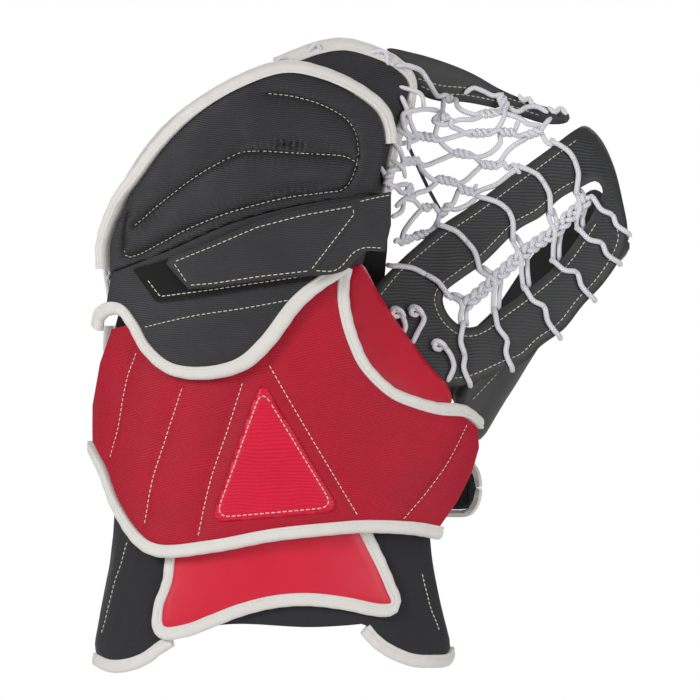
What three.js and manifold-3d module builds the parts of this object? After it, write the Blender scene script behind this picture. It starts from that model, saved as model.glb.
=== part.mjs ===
// Goalie catch glove: a left-hand ice hockey catcher with a lace pocket, a double-T trap and a one-piece cuff.
//
// Millimetres, +Z up along the fingers, +X towards the thumb, +Y from the back of the hand towards the palm.
// The origin is the middle of the wrist opening.
//
// Most pieces are sheets cut from patterns, as in a glove maker's shop: an outline is drawn flat, cut out of a
// sheet, and the sheet is laid over a form (the hand's back, the palm, the trap, the thumb). A level is the
// distance out from the form, towards the back of the hand, or away from the pocket on the thumb.
import * as THREE from 'three';
import { mergeVertices } from 'three/addons/utils/BufferGeometryUtils.js';
import Module from 'manifold-3d';

const wasm = await Module();
wasm.setup();

// ---- Driving sizes ----
const GLOVE_WIDTH = 344;
const GLOVE_HEIGHT = 404;
const HAND_DEPTH = 52;
const PALM_DEPTH = 34;
const BACK_PAD_THICKNESS = 10;
const GUARD_THICKNESS = 4.5;
const BOARD_THICKNESS = 2.2;
const FLAP_THICKNESS = 5;
const CUFF_THICKNESS = 5.5;
const TAB_THICKNESS = 3;
const LINER_THICKNESS = 3.2;
const EMBLEM_THICKNESS = 1.8;
const BINDING_WIDTH = 7.5;
const BINDING_PROUD = 0.6;
const STRAP_THICKNESS = 2.6;
const HOOK_THICKNESS = 1.2;
const LEATHER_THICKNESS = 2;
const PALM_FOAM_THICKNESS = 7;
const GUSSET_THICKNESS = 2.4;
const TRAP_THICKNESS = 5;
const RIM_THICKNESS = 4;
const THUMB_PAD_THICKNESS = 11;
const LACE_DIAMETER = 3.4;
const STALL_BORE_RADIUS = 10;
const STALL_WALL = 1.6;
const STALL_LENGTH = 88;

// ---- Clearances between pieces that lie on or beside each other ----
const LAYER_GAP = 0.5;
const EDGE_GAP = 0.9;
const FLAP_GAP = 1.1;
const LACE_GAP = 1.3;

// ---- Modelling steps ----
const EDGE_STEP = 11;
const LACE_SIDES = 4;
const CRUMB_VOLUME = 0.5;

// ---- Grading: outlines are drawn for a 344 by 404 glove and graded to the size above ----
const PATTERN_WIDTH = 344;
const PATTERN_HEIGHT = 404;
const gradeX = GLOVE_WIDTH / PATTERN_WIDTH;
const gradeZ = GLOVE_HEIGHT / PATTERN_HEIGHT;
const grade = ([x, z]) => new THREE.Vector2(x * gradeX, z * gradeZ);
const gradeThumb = ([r, s]) => new THREE.Vector2(r, s * gradeZ);

/** A smooth line through pattern points, in even steps. */
function run(points) {
  const curve = new THREE.SplineCurve(points.map(grade));
  return curve.getSpacedPoints(Math.ceil(curve.getLength() / EDGE_STEP));
}

/** A line moved sideways, to the left of its travel. */
function offsetLine(line, distance) {
  return line.map((point, i) => {
    const before = line[Math.max(i - 1, 0)];
    const after = line[Math.min(i + 1, line.length - 1)];
    const along = after.clone().sub(before).normalize();
    return new THREE.Vector2(point.x - along.y * distance, point.y + along.x * distance);
  });
}

/** The outline of a band that runs beside a line, between two distances to its left. */
function band(line, near, far) {
  return [...offsetLine(line, near), ...offsetLine(line, far).reverse()];
}

/** Linear values between [z, value] stations, eased from one to the next. */
function along(stations, at) {
  const last = stations.length - 1;
  if (at <= stations[0][0]) return stations[0][1];
  if (at >= stations[last][0]) return stations[last][1];
  const i = stations.findIndex(([z]) => z > at) - 1;
  const [[z0, v0], [z1, v1]] = [stations[i], stations[i + 1]];
  return THREE.MathUtils.lerp(v0, v1, THREE.MathUtils.smoothstep(at, z0, z1));
}

// ---- Solids ----
function solidOf(geometry) {
  const bare = geometry.clone();
  bare.deleteAttribute('normal');
  bare.deleteAttribute('uv');
  const merged = mergeVertices(bare, 1e-4);
  return new wasm.Manifold(new wasm.Mesh({
    numProp: 3,
    vertProperties: new Float32Array(merged.attributes.position.array),
    triVerts: new Uint32Array(merged.index.array),
  }));
}

function geometryOf(solid) {
  const mesh = solid.getMesh();
  const geometry = new THREE.BufferGeometry();
  geometry.setAttribute('position', new THREE.BufferAttribute(new Float32Array(mesh.vertProperties), 3));
  geometry.setIndex(new THREE.BufferAttribute(new Uint32Array(mesh.triVerts), 1));
  geometry.computeVertexNormals();
  return geometry;
}

/** Moves every vertex by a function of its place. */
function reshape(geometry, move) {
  const position = geometry.attributes.position;
  const point = new THREE.Vector3();
  for (let i = 0; i < position.count; i += 1) {
    point.fromBufferAttribute(position, i);
    const moved = move(point);
    position.setXYZ(i, moved.x, moved.y, moved.z);
  }
  geometry.computeVertexNormals();
  return geometry;
}

// The sheet is very slightly domed while it is cut, so that its grid of points is kept.
const DOME = 0.0004;
const dome = (geometry, sign) =>
  reshape(geometry, (p) => new THREE.Vector3(p.x, p.y, p.z + sign * DOME * (p.x * p.x + p.y * p.y)));

/** A sheet between two levels, cut to an outline with holes, and laid over a form. */
function cutSheet(form, outline, [low, high], holes = []) {
  const level = (low + high) / 2;
  const flat = (line) => line.map((point) => form.flatten(point, level));
  const wound = (line, turn) => (THREE.ShapeUtils.area(line) * turn < 0 ? line.reverse() : line);
  const edge = wound(flat(outline), 1);
  const shape = new THREE.Shape(edge);
  shape.holes = holes.map((hole) => new THREE.Path(wound(flat(hole), -1)));
  const box = new THREE.Box2().setFromPoints(edge);
  const size = box.getSize(new THREE.Vector2());
  const middle = box.getCenter(new THREE.Vector2());
  const margin = 5;
  const cells = (length, cell) => Math.max(1, Math.round(length / cell));
  const slab = new THREE.BoxGeometry(size.x + margin, size.y + margin, high - low,
    cells(size.x, form.cell[0]), cells(size.y, form.cell[1]), 1);
  slab.translate(middle.x, middle.y, level);
  const cutter = new THREE.ExtrudeGeometry(shape, { depth: 400, bevelEnabled: false });
  cutter.translate(0, 0, -200);
  const cut = geometryOf(solidOf(dome(slab, 1)).intersect(solidOf(cutter)));
  return reshape(dome(cut, -1), (p) => form.place(p.x, p.y, p.z));
}

/** A length of lace along a smooth path. */
function laceTube(points, steps = points.length * 2, radius = LACE_DIAMETER / 2) {
  const section = new THREE.Shape(Array.from({ length: LACE_SIDES }, (_, i) => {
    const angle = (2 * Math.PI * i) / LACE_SIDES;
    return new THREE.Vector2(radius * Math.cos(angle), radius * Math.sin(angle));
  }));
  const path = new THREE.CatmullRomCurve3(points, false, 'centripetal');
  return new THREE.ExtrudeGeometry(section, { steps, bevelEnabled: false, extrudePath: path });
}

/** One solid from pieces that run into each other, without the crumbs left where two laces graze. */
function joined(geometries) {
  const whole = geometries.map(solidOf).reduce((sum, part) => sum.add(part));
  const bodies = whole.decompose().filter((body) => body.volume() > CRUMB_VOLUME);
  return geometryOf(bodies.reduce((sum, body) => sum.add(body)));
}

// ---- The hand's back: an oval round the wrist, knuckles and fingers ----
const widthAt = (z) => gradeX * along(
  [[-30, 125], [60, 118], [125, 123], [250, 113], [380, 113]], z / gradeZ);
const middleAt = (z) => gradeX * along([[-30, 0], [125, 10], [250, -6], [380, -6]], z / gradeZ);
const FINGER_CURL = 42;
const curlAt = (z) => FINGER_CURL * Math.max(0, (z / gradeZ - 235) / 145) ** 2;
const UNROLL = 115;

const handBack = {
  cell: [20, 24],
  flatten(point, level) {
    const reach = (point.x - middleAt(point.y)) / (widthAt(point.y) + level);
    const past = Math.max(0, Math.abs(reach) - 1);
    const angle = Math.sign(reach) * (Math.asin(Math.min(1, Math.abs(reach))) + past);
    return new THREE.Vector2(angle * UNROLL, point.y);
  },
  place(u, z, level) {
    const angle = u / UNROLL;
    const x = middleAt(z) + (widthAt(z) + level) * Math.sin(angle);
    const y = curlAt(z) - (HAND_DEPTH + level) * Math.cos(angle);
    return new THREE.Vector3(x, y, z);
  },
};

/** A form whose depth is a function of x and z. */
const heightForm = (depth, cell) => ({
  cell,
  flatten: (point) => point.clone(),
  place: (x, z, level) => new THREE.Vector3(x, depth(x, z) - level, z),
});

const palmDepth = (x, z) => {
  const across = (x - middleAt(z)) / widthAt(z);
  return PALM_DEPTH - 22 * across * across - along([[300, 0], [385, 16]], z / gradeZ);
};
const palm = heightForm(palmDepth, [30, 24]);

// ---- The trap: it folds on two lines, one beside the fingers' net and one beside the thumb ----
const foldStart = grade([61, 215]);
const foldEnd = grade([196, 328.3]);
const foldLength = foldEnd.distanceTo(foldStart);
const foldAlong = foldEnd.clone().sub(foldStart).normalize();
const foldAcross = new THREE.Vector2(foldAlong.y, -foldAlong.x);
const TRAP_FRONT = -4;
const TRAP_RISE = 0.22;
const THUMB_FOLD = 84;
/** How far a point lies along the first fold line, and across it towards the thumb. */
const trapAlong = (point) => point.clone().sub(foldStart).dot(foldAlong);
const trapAcross = (point) => point.clone().sub(foldStart).dot(foldAcross);
/** The point a distance along the fold and a distance across it. */
const onTrap = (s, t) => foldStart.clone().addScaledVector(foldAlong, s).addScaledVector(foldAcross, t);
const trapFall = (s, t) =>
  TRAP_FRONT + TRAP_RISE * s + 0.012 * Math.max(0, s - 150) ** 2 + 0.003 * Math.max(0, t - 60) ** 2;
const trapDepth = (x, z) => {
  const point = new THREE.Vector2(x, z);
  return trapFall(trapAlong(point), trapAcross(point));
};
const trap = heightForm(trapDepth, [30, 30]);

// ---- The thumb: a panel that leaves the second fold line and turns away from the back of the hand ----
const THUMB_REACH = 118;
const THUMB_CLEARANCE = 10;
const thumbFront = (s) => TRAP_FRONT + TRAP_RISE * s + TRAP_THICKNESS + THUMB_CLEARANCE;
const thumbBulge = (s) => Math.max(2, 32 - 0.33 * (s + 3));
const thumbLean = (s) => 26 + 0.22 * Math.max(0, s - 60);
const thumbDepthShare = (s) => along([[50, 1], [165, 0.4]], s);
/** The panel's section at s: how far past the fold, and how deep, at a share of its reach. */
const thumbSection = (s, share) => {
  const bulge = thumbBulge(s);
  const lean = thumbLean(s);
  const deep = thumbDepthShare(s);
  const curve = new THREE.SplineCurve([
    new THREE.Vector2(0, 0),
    new THREE.Vector2(0.85 * bulge, 14 * deep),
    new THREE.Vector2(bulge, 38 * deep),
    new THREE.Vector2(0.6 * bulge - 0.25 * lean, 70 * deep),
    new THREE.Vector2(0.2 * bulge - lean, 98 * deep),
  ]);
  return { at: curve.getPoint(share), heading: curve.getTangent(share) };
};
const thumb = {
  cell: [14, 40],
  flatten: (point) => point.clone(),
  place(r, s, level) {
    const { at, heading } = thumbSection(s, THREE.MathUtils.clamp(r / THUMB_REACH, 0, 1));
    const across = THUMB_FOLD + at.x + heading.y * level;
    const depth = thumbFront(s) + at.y - heading.x * level;
    const point = onTrap(s, across);
    return new THREE.Vector3(point.x, depth, point.y);
  },
};

// ---- Levels, built outwards from the hand ----
const above = (low, thickness) => [low, low + thickness];
const below = (high, thickness) => [high - thickness, high];
const proud = ([low, high]) => [low - BINDING_PROUD, high + BINDING_PROUD];

const fingerBoardLevel = above(0, BOARD_THICKNESS);
const backPadLevel = above(fingerBoardLevel[1] + LAYER_GAP + BINDING_PROUD, BACK_PAD_THICKNESS);
const guardLevel = below(fingerBoardLevel[0] - LAYER_GAP - BINDING_PROUD, GUARD_THICKNESS);
const flapLevel = below(backPadLevel[1], FLAP_THICKNESS);
const cuffLevel = below(flapLevel[0] - FLAP_GAP - 2 * BINDING_PROUD, CUFF_THICKNESS);
const cuffBoardLevel = below(cuffLevel[0] - LAYER_GAP - BINDING_PROUD, BOARD_THICKNESS);
const tabLevel = below(cuffBoardLevel[0] - LAYER_GAP - BINDING_PROUD, TAB_THICKNESS);
const linerLevel = below(tabLevel[0] - LAYER_GAP - 2 * BINDING_PROUD, LINER_THICKNESS);
const emblemLevel = above(cuffLevel[1] + LAYER_GAP, EMBLEM_THICKNESS);
const patchLevel = above(backPadLevel[1] + BINDING_PROUD + LAYER_GAP, HOOK_THICKNESS);
const hookLevel = above(patchLevel[1] + FLAP_GAP, HOOK_THICKNESS);
const strapLevel = above(hookLevel[1] + LAYER_GAP, STRAP_THICKNESS);
const labelLevel = above(strapLevel[1] + LAYER_GAP, HOOK_THICKNESS);

// ---- Colours ----
const finish = (color, roughness) => () => new THREE.MeshStandardMaterial({ color, roughness, metalness: 0 });
const blackNylon = finish('#323234', 0.8);
const blackLeather = finish('#2f3032', 0.55);
const thumbLeather = finish('#3b3b3c', 0.6);
const redNylon = finish('#a8203a', 0.75);
const redSynthetic = finish('#cc2b48', 0.5);
const emblemRed = finish('#d01840', 0.5);
const whiteBinding = finish('#ece9e6', 0.7);
const whiteLace = finish('#e8e6ea', 0.85);
const linerKnit = finish('#2a292b', 0.9);
const foam = finish('#55565a', 0.95);
const plasticBoard = finish('#1c1c1e', 0.45);
const hookAndLoop = finish('#141415', 0.95);

const group = new THREE.Group();

function add(name, geometry, material) {
  const mesh = new THREE.Mesh(geometry, material());
  mesh.name = name;
  group.add(mesh);
  return mesh;
}

/** A panel and the folded binding round part of its edge. */
function boundPanel(name, form, level, { bound, free, material, side = 1 }) {
  add(name, cutSheet(form, [...bound, ...free], level), material);
  add(`${name}_binding`, cutSheet(form, band(bound, side * EDGE_GAP, side * BINDING_WIDTH), proud(level)),
    whiteBinding);
}

// ---- Back of the hand ----
const padFoot = run([[64, 280], [42, 277], [17, 273], [-25, 262], [-70, 243], [-104, 230]]);
const padEdge = run([[-106, 232], [-106, 248], [-97, 273], [-84, 291], [-70, 310], [-50, 330], [-22, 348],
  [7, 358], [30, 354], [53, 343], [67, 331], [72, 315], [70, 297], [65, 281]]);

function backOfHand() {
  boundPanel('back_pad', handBack, backPadLevel,
    { bound: padEdge, free: padFoot.slice(1, -1), material: blackNylon });
  const boardOutline = run([[-92, 240], [-88, 266], [-62, 308], [-22, 336], [8, 345], [38, 338], [58, 318],
    [60, 290], [20, 282], [-30, 268], [-92, 240]]).slice(0, -1);
  add('finger_board', cutSheet(handBack, boardOutline, fingerBoardLevel), plasticBoard);

  const guardEdge = run([[2, 360], [16, 366], [30, 371], [44, 373], [58, 370], [76, 362], [86, 352], [85, 338],
    [79, 324], [74, 308], [71, 292], [69, 280]]);
  const guardHidden = run([[50, 284], [20, 300], [-15, 318], [-20, 340]]);
  boundPanel('finger_guard', handBack, guardLevel,
    { bound: guardEdge, free: guardHidden, material: blackNylon });
}

function wristFlap() {
  const edge = run([[44, 236], [26, 225], [11, 212], [-8, 187], [-23, 174], [-46, 169], [-65, 172], [-79, 184],
    [-87, 198], [-96, 209], [-107, 211]]);
  const top = offsetLine(padFoot, BINDING_WIDTH / 2 + EDGE_GAP).reverse();
  boundPanel('wrist_flap', handBack, flapLevel, { bound: edge, free: top, material: blackNylon });
  const patch = run([[-90, 232], [-75, 211], [-41, 215], [26, 225], [40, 240], [20, 250], [-28, 248], [-65, 239],
    [-90, 232]]).slice(0, -1);
  add('loop_patch', cutSheet(handBack, patch, patchLevel), hookAndLoop);
}

// ---- Hand strap ----
function handStrap() {
  const webbing = [[75, 281], [47, 275], [19, 270], [-10, 262], [-38, 250], [-66, 239], [-68, 235], [-54, 219],
    [-38, 220], [-10, 224], [19, 227], [40, 229], [54, 239], [71, 243], [75, 260]].map(grade);
  add('hand_strap', cutSheet(handBack, webbing, strapLevel), blackNylon);
  const label = [[50, 271], [19, 265.5], [-10, 257.5], [-38, 245.5], [-60, 236], [-51, 223], [-38, 224],
    [-10, 228], [23, 231], [37, 243]].map(grade);
  add('hand_strap_label', cutSheet(handBack, label, labelLevel), blackNylon);
  const hook = [[10, 262], [-10, 256], [-38, 244], [-58, 235], [-50, 224], [-10, 229], [10, 231]].map(grade);
  add('hand_strap_hook', cutSheet(handBack, hook, hookLevel), hookAndLoop);
}

// ---- Cuff ----
const cuffThumbEdge = run([[131, 131], [122, 138], [104, 140], [88, 144.5], [75, 150], [64, 159], [54, 171],
  [48, 184], [43.5, 198], [41, 212], [41, 224]]);
const cuffBottomEdge = run([[-117, 122], [-108, 105], [-99, 83], [-84, 62], [-72, 56], [-38, 59], [-1, 66],
  [36, 70], [59, 71.5], [90, 70], [106, 67]]);

function cuff() {
  const top = run([[35, 223], [10, 216], [-40, 206], [-85, 198], [-104, 194]]);
  const left = run([[-112, 172], [-117, 145]]);
  const right = run([[118, 84], [127, 102], [132, 118]]);
  const shell = [...cuffThumbEdge, ...top, ...left, ...cuffBottomEdge, ...right];
  add('cuff_shell', cutSheet(handBack, shell, cuffLevel), redNylon);
  add('cuff_thumb_binding',
    cutSheet(handBack, band(cuffThumbEdge, -EDGE_GAP, -BINDING_WIDTH), proud(cuffLevel)), whiteBinding);
  add('cuff_bottom_binding',
    cutSheet(handBack, band(cuffBottomEdge, -EDGE_GAP, -BINDING_WIDTH), proud(cuffLevel)), whiteBinding);
  const board = run([[-96, 112], [-88, 84], [-66, 72], [0, 78], [60, 84], [92, 84], [112, 104], [96, 128],
    [60, 142], [36, 172], [24, 204], [-30, 198], [-88, 186], [-98, 150], [-96, 112]]).slice(0, -1);
  add('cuff_board', cutSheet(handBack, board, cuffBoardLevel), plasticBoard);
  const emblem = roundedOutline([[-7.5, 157], [-38, 73], [39, 80]].map(grade), 5);
  add('cuff_emblem', cutSheet(handBack, emblem, emblemLevel), emblemRed);
}

/** A polygon with its corners rounded, from points in anticlockwise order. */
function roundedOutline(corners, radius) {
  return corners.flatMap((corner, i) => {
    const before = corners[(i + corners.length - 1) % corners.length];
    const after = corners[(i + 1) % corners.length];
    const inward = before.clone().sub(corner).normalize().multiplyScalar(radius).add(corner);
    const outward = after.clone().sub(corner).normalize().multiplyScalar(radius).add(corner);
    return new THREE.QuadraticBezierCurve(inward, corner, outward).getPoints(3);
  });
}

function cuffTab() {
  const edge = run([[-63, 50], [-65, 33], [-71, 15], [-70, 4], [-56, 5], [-40, 11], [-22, 18], [0, 23.5],
    [22, 25], [45, 22.5], [68, 18], [75, 19], [72, 28], [66, 42], [60, 54]]);
  const top = run([[50, 78], [0, 74], [-52, 66]]);
  boundPanel('cuff_tab', handBack, tabLevel,
    { bound: edge, free: top, material: redSynthetic, side: -1 });
}

function wristLiner() {
  const left = run([[-106, 76], [-110, 44], [-115, 10], [-115, -12]]);
  const leftCorner = run([[-114, -16], [-104, -18], [-92, -17], [-82, -13]]);
  const foot = run([[-72, -6], [-58, 1], [-25, 6], [22, 4], [50, 3], [64, 0]]);
  const rightCorner = run([[74, -8], [88, -14], [100, -15], [112, -13]]);
  const right = run([[113, -6], [107, 20], [102, 46], [100, 66]]);
  const top = run([[80, 84], [0, 88], [-86, 86]]);
  const outline = [...left, ...leftCorner, ...foot, ...rightCorner, ...right, ...top];
  add('wrist_liner', cutSheet(handBack, outline, linerLevel), linerKnit);
  const corner = (line) => cutSheet(handBack, band(line, -EDGE_GAP, -BINDING_WIDTH), proud(linerLevel));
  add('liner_binding_left', corner(leftCorner), whiteBinding);
  add('liner_binding_right', corner(rightCorner), whiteBinding);
}

// ---- Palm side ----
const palmLevel = below(0, LEATHER_THICKNESS);
const heelLevel = below(palmLevel[0] - LAYER_GAP - 2 * BINDING_PROUD, LEATHER_THICKNESS);

function palmSide() {
  const edge = run([[-103, 214], [-106, 240], [-101, 268], [-88, 296], [-68, 322], [-42, 342], [-14, 356]]);
  const rest = run([[-14, 356], [14, 365], [44, 371], [72, 364], [88, 350], [82, 326], [76, 300], [73, 270],
    [72, 240], [66, 214], [30, 206], [-40, 204], [-103, 214]]).slice(1, -1);
  boundPanel('palm_leather', palm, palmLevel, { bound: edge, free: rest, material: blackLeather });
  const filling = run([[-86, 226], [-86, 250], [-70, 288], [-44, 318], [0, 340], [40, 346], [62, 330], [60, 290],
    [58, 240], [48, 222], [-30, 216], [-86, 226]]).slice(0, -1);
  add('palm_foam', cutSheet(palm, filling, above(LAYER_GAP + 2 * BINDING_PROUD, PALM_FOAM_THICKNESS)), foam);
  const heelEdge = run([[20, 148], [0, 140], [-44, 134], [-78, 140], [-96, 152], [-102, 176], [-102, 196]]);
  const heelTop = run([[-94, 226], [0, 222], [60, 226], [56, 190], [38, 162]]);
  boundPanel('palm_heel', palm, heelLevel, { bound: heelEdge, free: heelTop, material: blackLeather });
}

/** The wall between the back of the hand and the palm, round the little finger's side and the fingertips. */
function sideGusset() {
  const line = run([[-99, 224], [-100, 240], [-95, 264], [-83, 291], [-66, 314], [-42, 335], [-18, 348], [10, 357],
    [38, 360]]);
  const shape = new THREE.Shape(band(line, -GUSSET_THICKNESS / 2, GUSSET_THICKNESS / 2));
  const wall = new THREE.ExtrudeGeometry(shape, { depth: 1, bevelEnabled: false });
  const backLevel = guardLevel[0] - BINDING_PROUD - 2 * LAYER_GAP;
  add('side_gusset', reshape(wall, (p) => {
    const flat = handBack.flatten(new THREE.Vector2(p.x, p.y), backLevel);
    const back = handBack.place(flat.x, flat.y, backLevel).y + LAYER_GAP;
    const front = palmDepth(p.x, p.y) - 3 * LAYER_GAP;
    return new THREE.Vector3(p.x, THREE.MathUtils.lerp(front, back, p.z), p.y);
  }), blackNylon);
}

/** A finger sleeve: an oval tube, closed at the fingertip and open towards the wrist. */
function fingerStall(name, x, y, foot, length) {
  const bore = STALL_BORE_RADIUS;
  const outside = bore + STALL_WALL;
  const profile = [[bore, 0], [outside, 0], [outside, length - 6], [outside - 5, length], [0, length],
    [0, length - STALL_WALL], [bore - 4, length - STALL_WALL], [bore, length - 7], [bore, 0]]
    .map(([r, h]) => new THREE.Vector2(r, h));
  const stall = new THREE.LatheGeometry(profile, 10);
  stall.rotateX(Math.PI / 2);
  stall.translate(x * gradeX, y, foot * gradeZ);
  add(name, stall, linerKnit);
}

function fingerStalls() {
  const pitch = 2 * (STALL_BORE_RADIUS + STALL_WALL) + 1.5;
  const names = ['little', 'ring', 'middle', 'index'];
  const lengths = [0.82, 0.95, 1, 0.95];
  names.forEach((finger, i) => {
    const x = -56 + (pitch * i) / gradeX;
    fingerStall(`${finger}_finger_stall`, x, -8, 218, STALL_LENGTH * lengths[i]);
  });
}

// ---- Red web pad between the cuff and the trap ----
const WEB_THICKNESS = 6;
const webTop = grade([54, 237]);
const webFoot = grade([111, 155]);
const webAlong = webFoot.clone().sub(webTop).normalize();
const web = heightForm((x, z) => {
  const inward = new THREE.Vector2(x, z).sub(webTop).dot(new THREE.Vector2(webAlong.y, -webAlong.x));
  return -13 - 0.75 * inward;
}, [40, 40]);

function thumbWeb() {
  const outline = run([[56, 240], [67, 218], [77, 201], [88, 186], [100, 169], [110, 156], [104, 149],
    [84, 154], [64, 170], [51, 190], [47, 212], [48, 232]]);
  add('thumb_web_pad', cutSheet(web, outline, [-WEB_THICKNESS, 0]), redSynthetic);
}

// ---- Trap: a double-T of leather round a slot ----
const trapOutline = run([[64, 219], [78, 235], [91.5, 247.5], [106.5, 260], [127, 273.5], [150, 290.5],
  [177.5, 310.5], [194, 322.5], [200, 325], [209, 318], [218, 300], [224, 276], [227, 256], [224, 243],
  [212, 224], [198, 209], [186, 194], [171, 183], [161, 173], [150, 169], [126, 159], [113, 157], [100, 158],
  [84, 166], [69, 184], [62, 205], [64, 219]]).slice(0, -1);
const slotOutline = run([[108, 213], [110, 218], [120, 226], [134, 236], [157, 258], [171, 266], [184, 278],
  [197, 285], [207, 289], [211, 283], [203.5, 266], [191, 247], [182, 236], [171, 226], [157, 215], [143, 205],
  [134, 198], [126, 195], [118, 197], [111, 204], [108, 213]]).slice(0, -1);
const trapLevel = [-TRAP_THICKNESS, 0];
const laceRadius = LACE_DIAMETER / 2;

/** A point beside the trap: a pattern place and a level in front of (or behind) its face. */
function besideTrap([x, z], level) {
  const point = grade([x, z]);
  return trap.place(point.x, point.y, level);
}

/** Lace round a strap of the trap: over the front through a pinch, and back behind it. */
function strapWrap([edge, pinch, slot]) {
  const front = LACE_GAP + laceRadius;
  const back = -TRAP_THICKNESS - LACE_GAP - laceRadius;
  const out = (from, to) => [0, 1].map((i) => to[i] + ((to[i] - from[i]) * (front + 1.2))
    / Math.hypot(to[0] - from[0], to[1] - from[1]));
  const outside = out(pinch, edge);
  const inside = out(pinch, slot);
  const middle = -TRAP_THICKNESS / 2;
  const over = [besideTrap(outside, back), besideTrap(outside, middle), besideTrap(edge, front),
    besideTrap(pinch, front), besideTrap(slot, front), besideTrap(inside, middle), besideTrap(inside, back)];
  const behind = [besideTrap(outside, back), besideTrap(pinch, back - 0.3), besideTrap(inside, back)];
  return [laceTube(over, 10), laceTube(behind, 2)];
}

/** The wraps of one strap, with the run of lace that goes on from each to the next behind the strap. */
function strapLace(name, wraps) {
  const back = -TRAP_THICKNESS - LACE_GAP - laceRadius - 0.3;
  const behind = wraps.map(([, pinch]) => besideTrap(pinch, back));
  add(name, joined([...wraps.flatMap(strapWrap), laceTube(behind, behind.length)]), whiteLace);
}

function doubleTTrap() {
  add('trap', cutSheet(trap, trapOutline, trapLevel, [slotOutline]), blackLeather);
  strapLace('upper_strap_lace', [
    [[76, 234], [96, 229], [111, 216]], [[109, 262], [123, 251], [131, 233]], [[135, 279], [150, 270], [153, 253]],
    [[160, 297], [173, 288], [177, 270]], [[182, 314], [192, 302], [193, 283]]]);
  strapLace('lower_strap_lace', [
    [[125, 158], [122, 177], [121, 197]], [[153, 170], [149, 188], [142, 205]], [[183, 190], [174, 209], [163, 221]],
    [[205, 215], [194, 230], [181, 238]], [[221, 238], [210, 250], [197, 258]]]);
  const chain = [[122, 210], [134, 217], [146, 229], [158, 240], [170, 250], [182, 260], [194, 270], [201, 277]];
  const strand = (side) => laceTube(chain.map(([x, z], i) => {
    const sway = (i % 2 ? 1 : -1) * side * 2.6;
    return besideTrap([x - sway * foldAlong.y, z + sway * foldAlong.x], -TRAP_THICKNESS / 2);
  }), 16);
  add('slot_lace', joined([strand(1), strand(-1)]), whiteLace);
  const knots = [[[80, 208], [84, 197]], [[90, 205], [87, 190]], [[105, 183], [112, 166]]];
  knots.forEach(([knot, tail], i) => {
    const ball = new THREE.IcosahedronGeometry(4, 1);
    ball.translate(...besideTrap(knot, 4 + LACE_GAP).toArray());
    const lace = laceTube([besideTrap(knot, 4), besideTrap([(knot[0] + tail[0]) / 2 + 2, (knot[1] + tail[1]) / 2], 3.4),
      besideTrap(tail, 2.6)], 4);
    add(`trap_knot_lace_${i + 1}`, joined([ball, lace]), whiteLace);
  });
}

// ---- Thumb side ----
function thumbSide() {
  const padLevel = [-THUMB_PAD_THICKNESS, 0];
  const pad = [[4, 2], [26, -6], [60, -6], [76, 4], [78, 60], [70, 120], [50, 146], [8, 148], [4, 140]]
    .map(gradeThumb);
  add('thumb_pad', cutSheet(thumb, pad, padLevel), thumbLeather);
  const boardLevel = below(padLevel[0] - LAYER_GAP - BINDING_PROUD, BOARD_THICKNESS);
  const board = [[16, 12], [60, 6], [70, 40], [62, 112], [18, 124]].map(gradeThumb);
  add('thumb_board', cutSheet(thumb, board, boardLevel), plasticBoard);
  const lining = below(boardLevel[0] - 4 * LAYER_GAP - 2 * BINDING_PROUD, LEATHER_THICKNESS);
  const leather = [[26, 8], [74, 4], [80, 60], [76, 120], [58, 142], [24, 140]].map(gradeThumb);
  add('thumb_palm_leather', cutSheet(thumb, leather, lining), blackLeather);
  const rim = [[86, -2], [112, 4], [116, 60], [116, 150], [110, 158], [88, 156], [88, 60]]
    .map(gradeThumb);
  add('thumb_rim', cutSheet(thumb, rim, [-RIM_THICKNESS, 0]), blackLeather);
}

// ---- Fingers' side of the pocket ----
const rimDepth = (x) => 26 + 0.2 * (x / gradeX - 70);
const rimForm = heightForm(rimDepth, [30, 40]);

function fingerRim() {
  const outline = run([[72, 374], [91, 371], [111, 365], [128, 358], [144, 349], [160, 342], [180, 334], [184, 328],
    [176, 326], [152, 333], [138, 337], [121, 340], [106, 340.5], [94, 345], [84, 362], [72, 374]]).slice(0, -1);
  add('finger_rim', cutSheet(rimForm, outline, [-RIM_THICKNESS, 0]), blackLeather);
}

/** The edge of the palm leather that stands along the pocket, from the finger side down to the trap. */
function pocketEdge() {
  const line = run([[86, 312], [98, 286], [109, 266]]);
  const shape = new THREE.Shape(band(line, -LEATHER_THICKNESS / 2, LEATHER_THICKNESS / 2));
  const wall = new THREE.ExtrudeGeometry(shape, { depth: 30, bevelEnabled: false });
  wall.rotateX(Math.PI / 2);
  wall.translate(0, 48, 0);
  add('pocket_edge', wall, blackLeather);
}

// The net stays this much short of the laces round the trap, so that the trap can close.
const NET_EASE = 2.8;

/** The pocket's net: strands that sway and meet their neighbours, from the finger guard to the trap. */
function fingerNet() {
  const strands = 5;
  const waves = 4;
  const clear = LACE_GAP + LACE_DIAMETER + NET_EASE;
  const low = [grade([83, 256]), onTrap(51, -clear - 2)];
  const high = [grade([98, 336]), onTrap(168, -clear)];
  const depthAt = (across, up) => THREE.MathUtils.lerp(3 + 8 * up, trapFall(20 + 150 * up, 0) + 2, across);
  const tubes = Array.from({ length: strands }, (_, k) => {
    const points = Array.from({ length: 2 * waves + 1 }, (_, j) => {
      const across = j / (2 * waves);
      const swing = ((j + k) % 2 ? 0.6 : -0.6) * (j % (2 * waves) ? 1 : 0.7);
      const up = THREE.MathUtils.clamp((k + 0.5 + swing) / strands, 0, 1);
      const from = low[0].clone().lerp(high[0], up);
      const to = low[1].clone().lerp(high[1], up);
      const point = from.lerp(to, across);
      return new THREE.Vector3(point.x, depthAt(across, up), point.y);
    });
    return laceTube(points, 2 * waves * 3);
  });
  add('finger_net_lace', joined(tubes), whiteLace);
}

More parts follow.
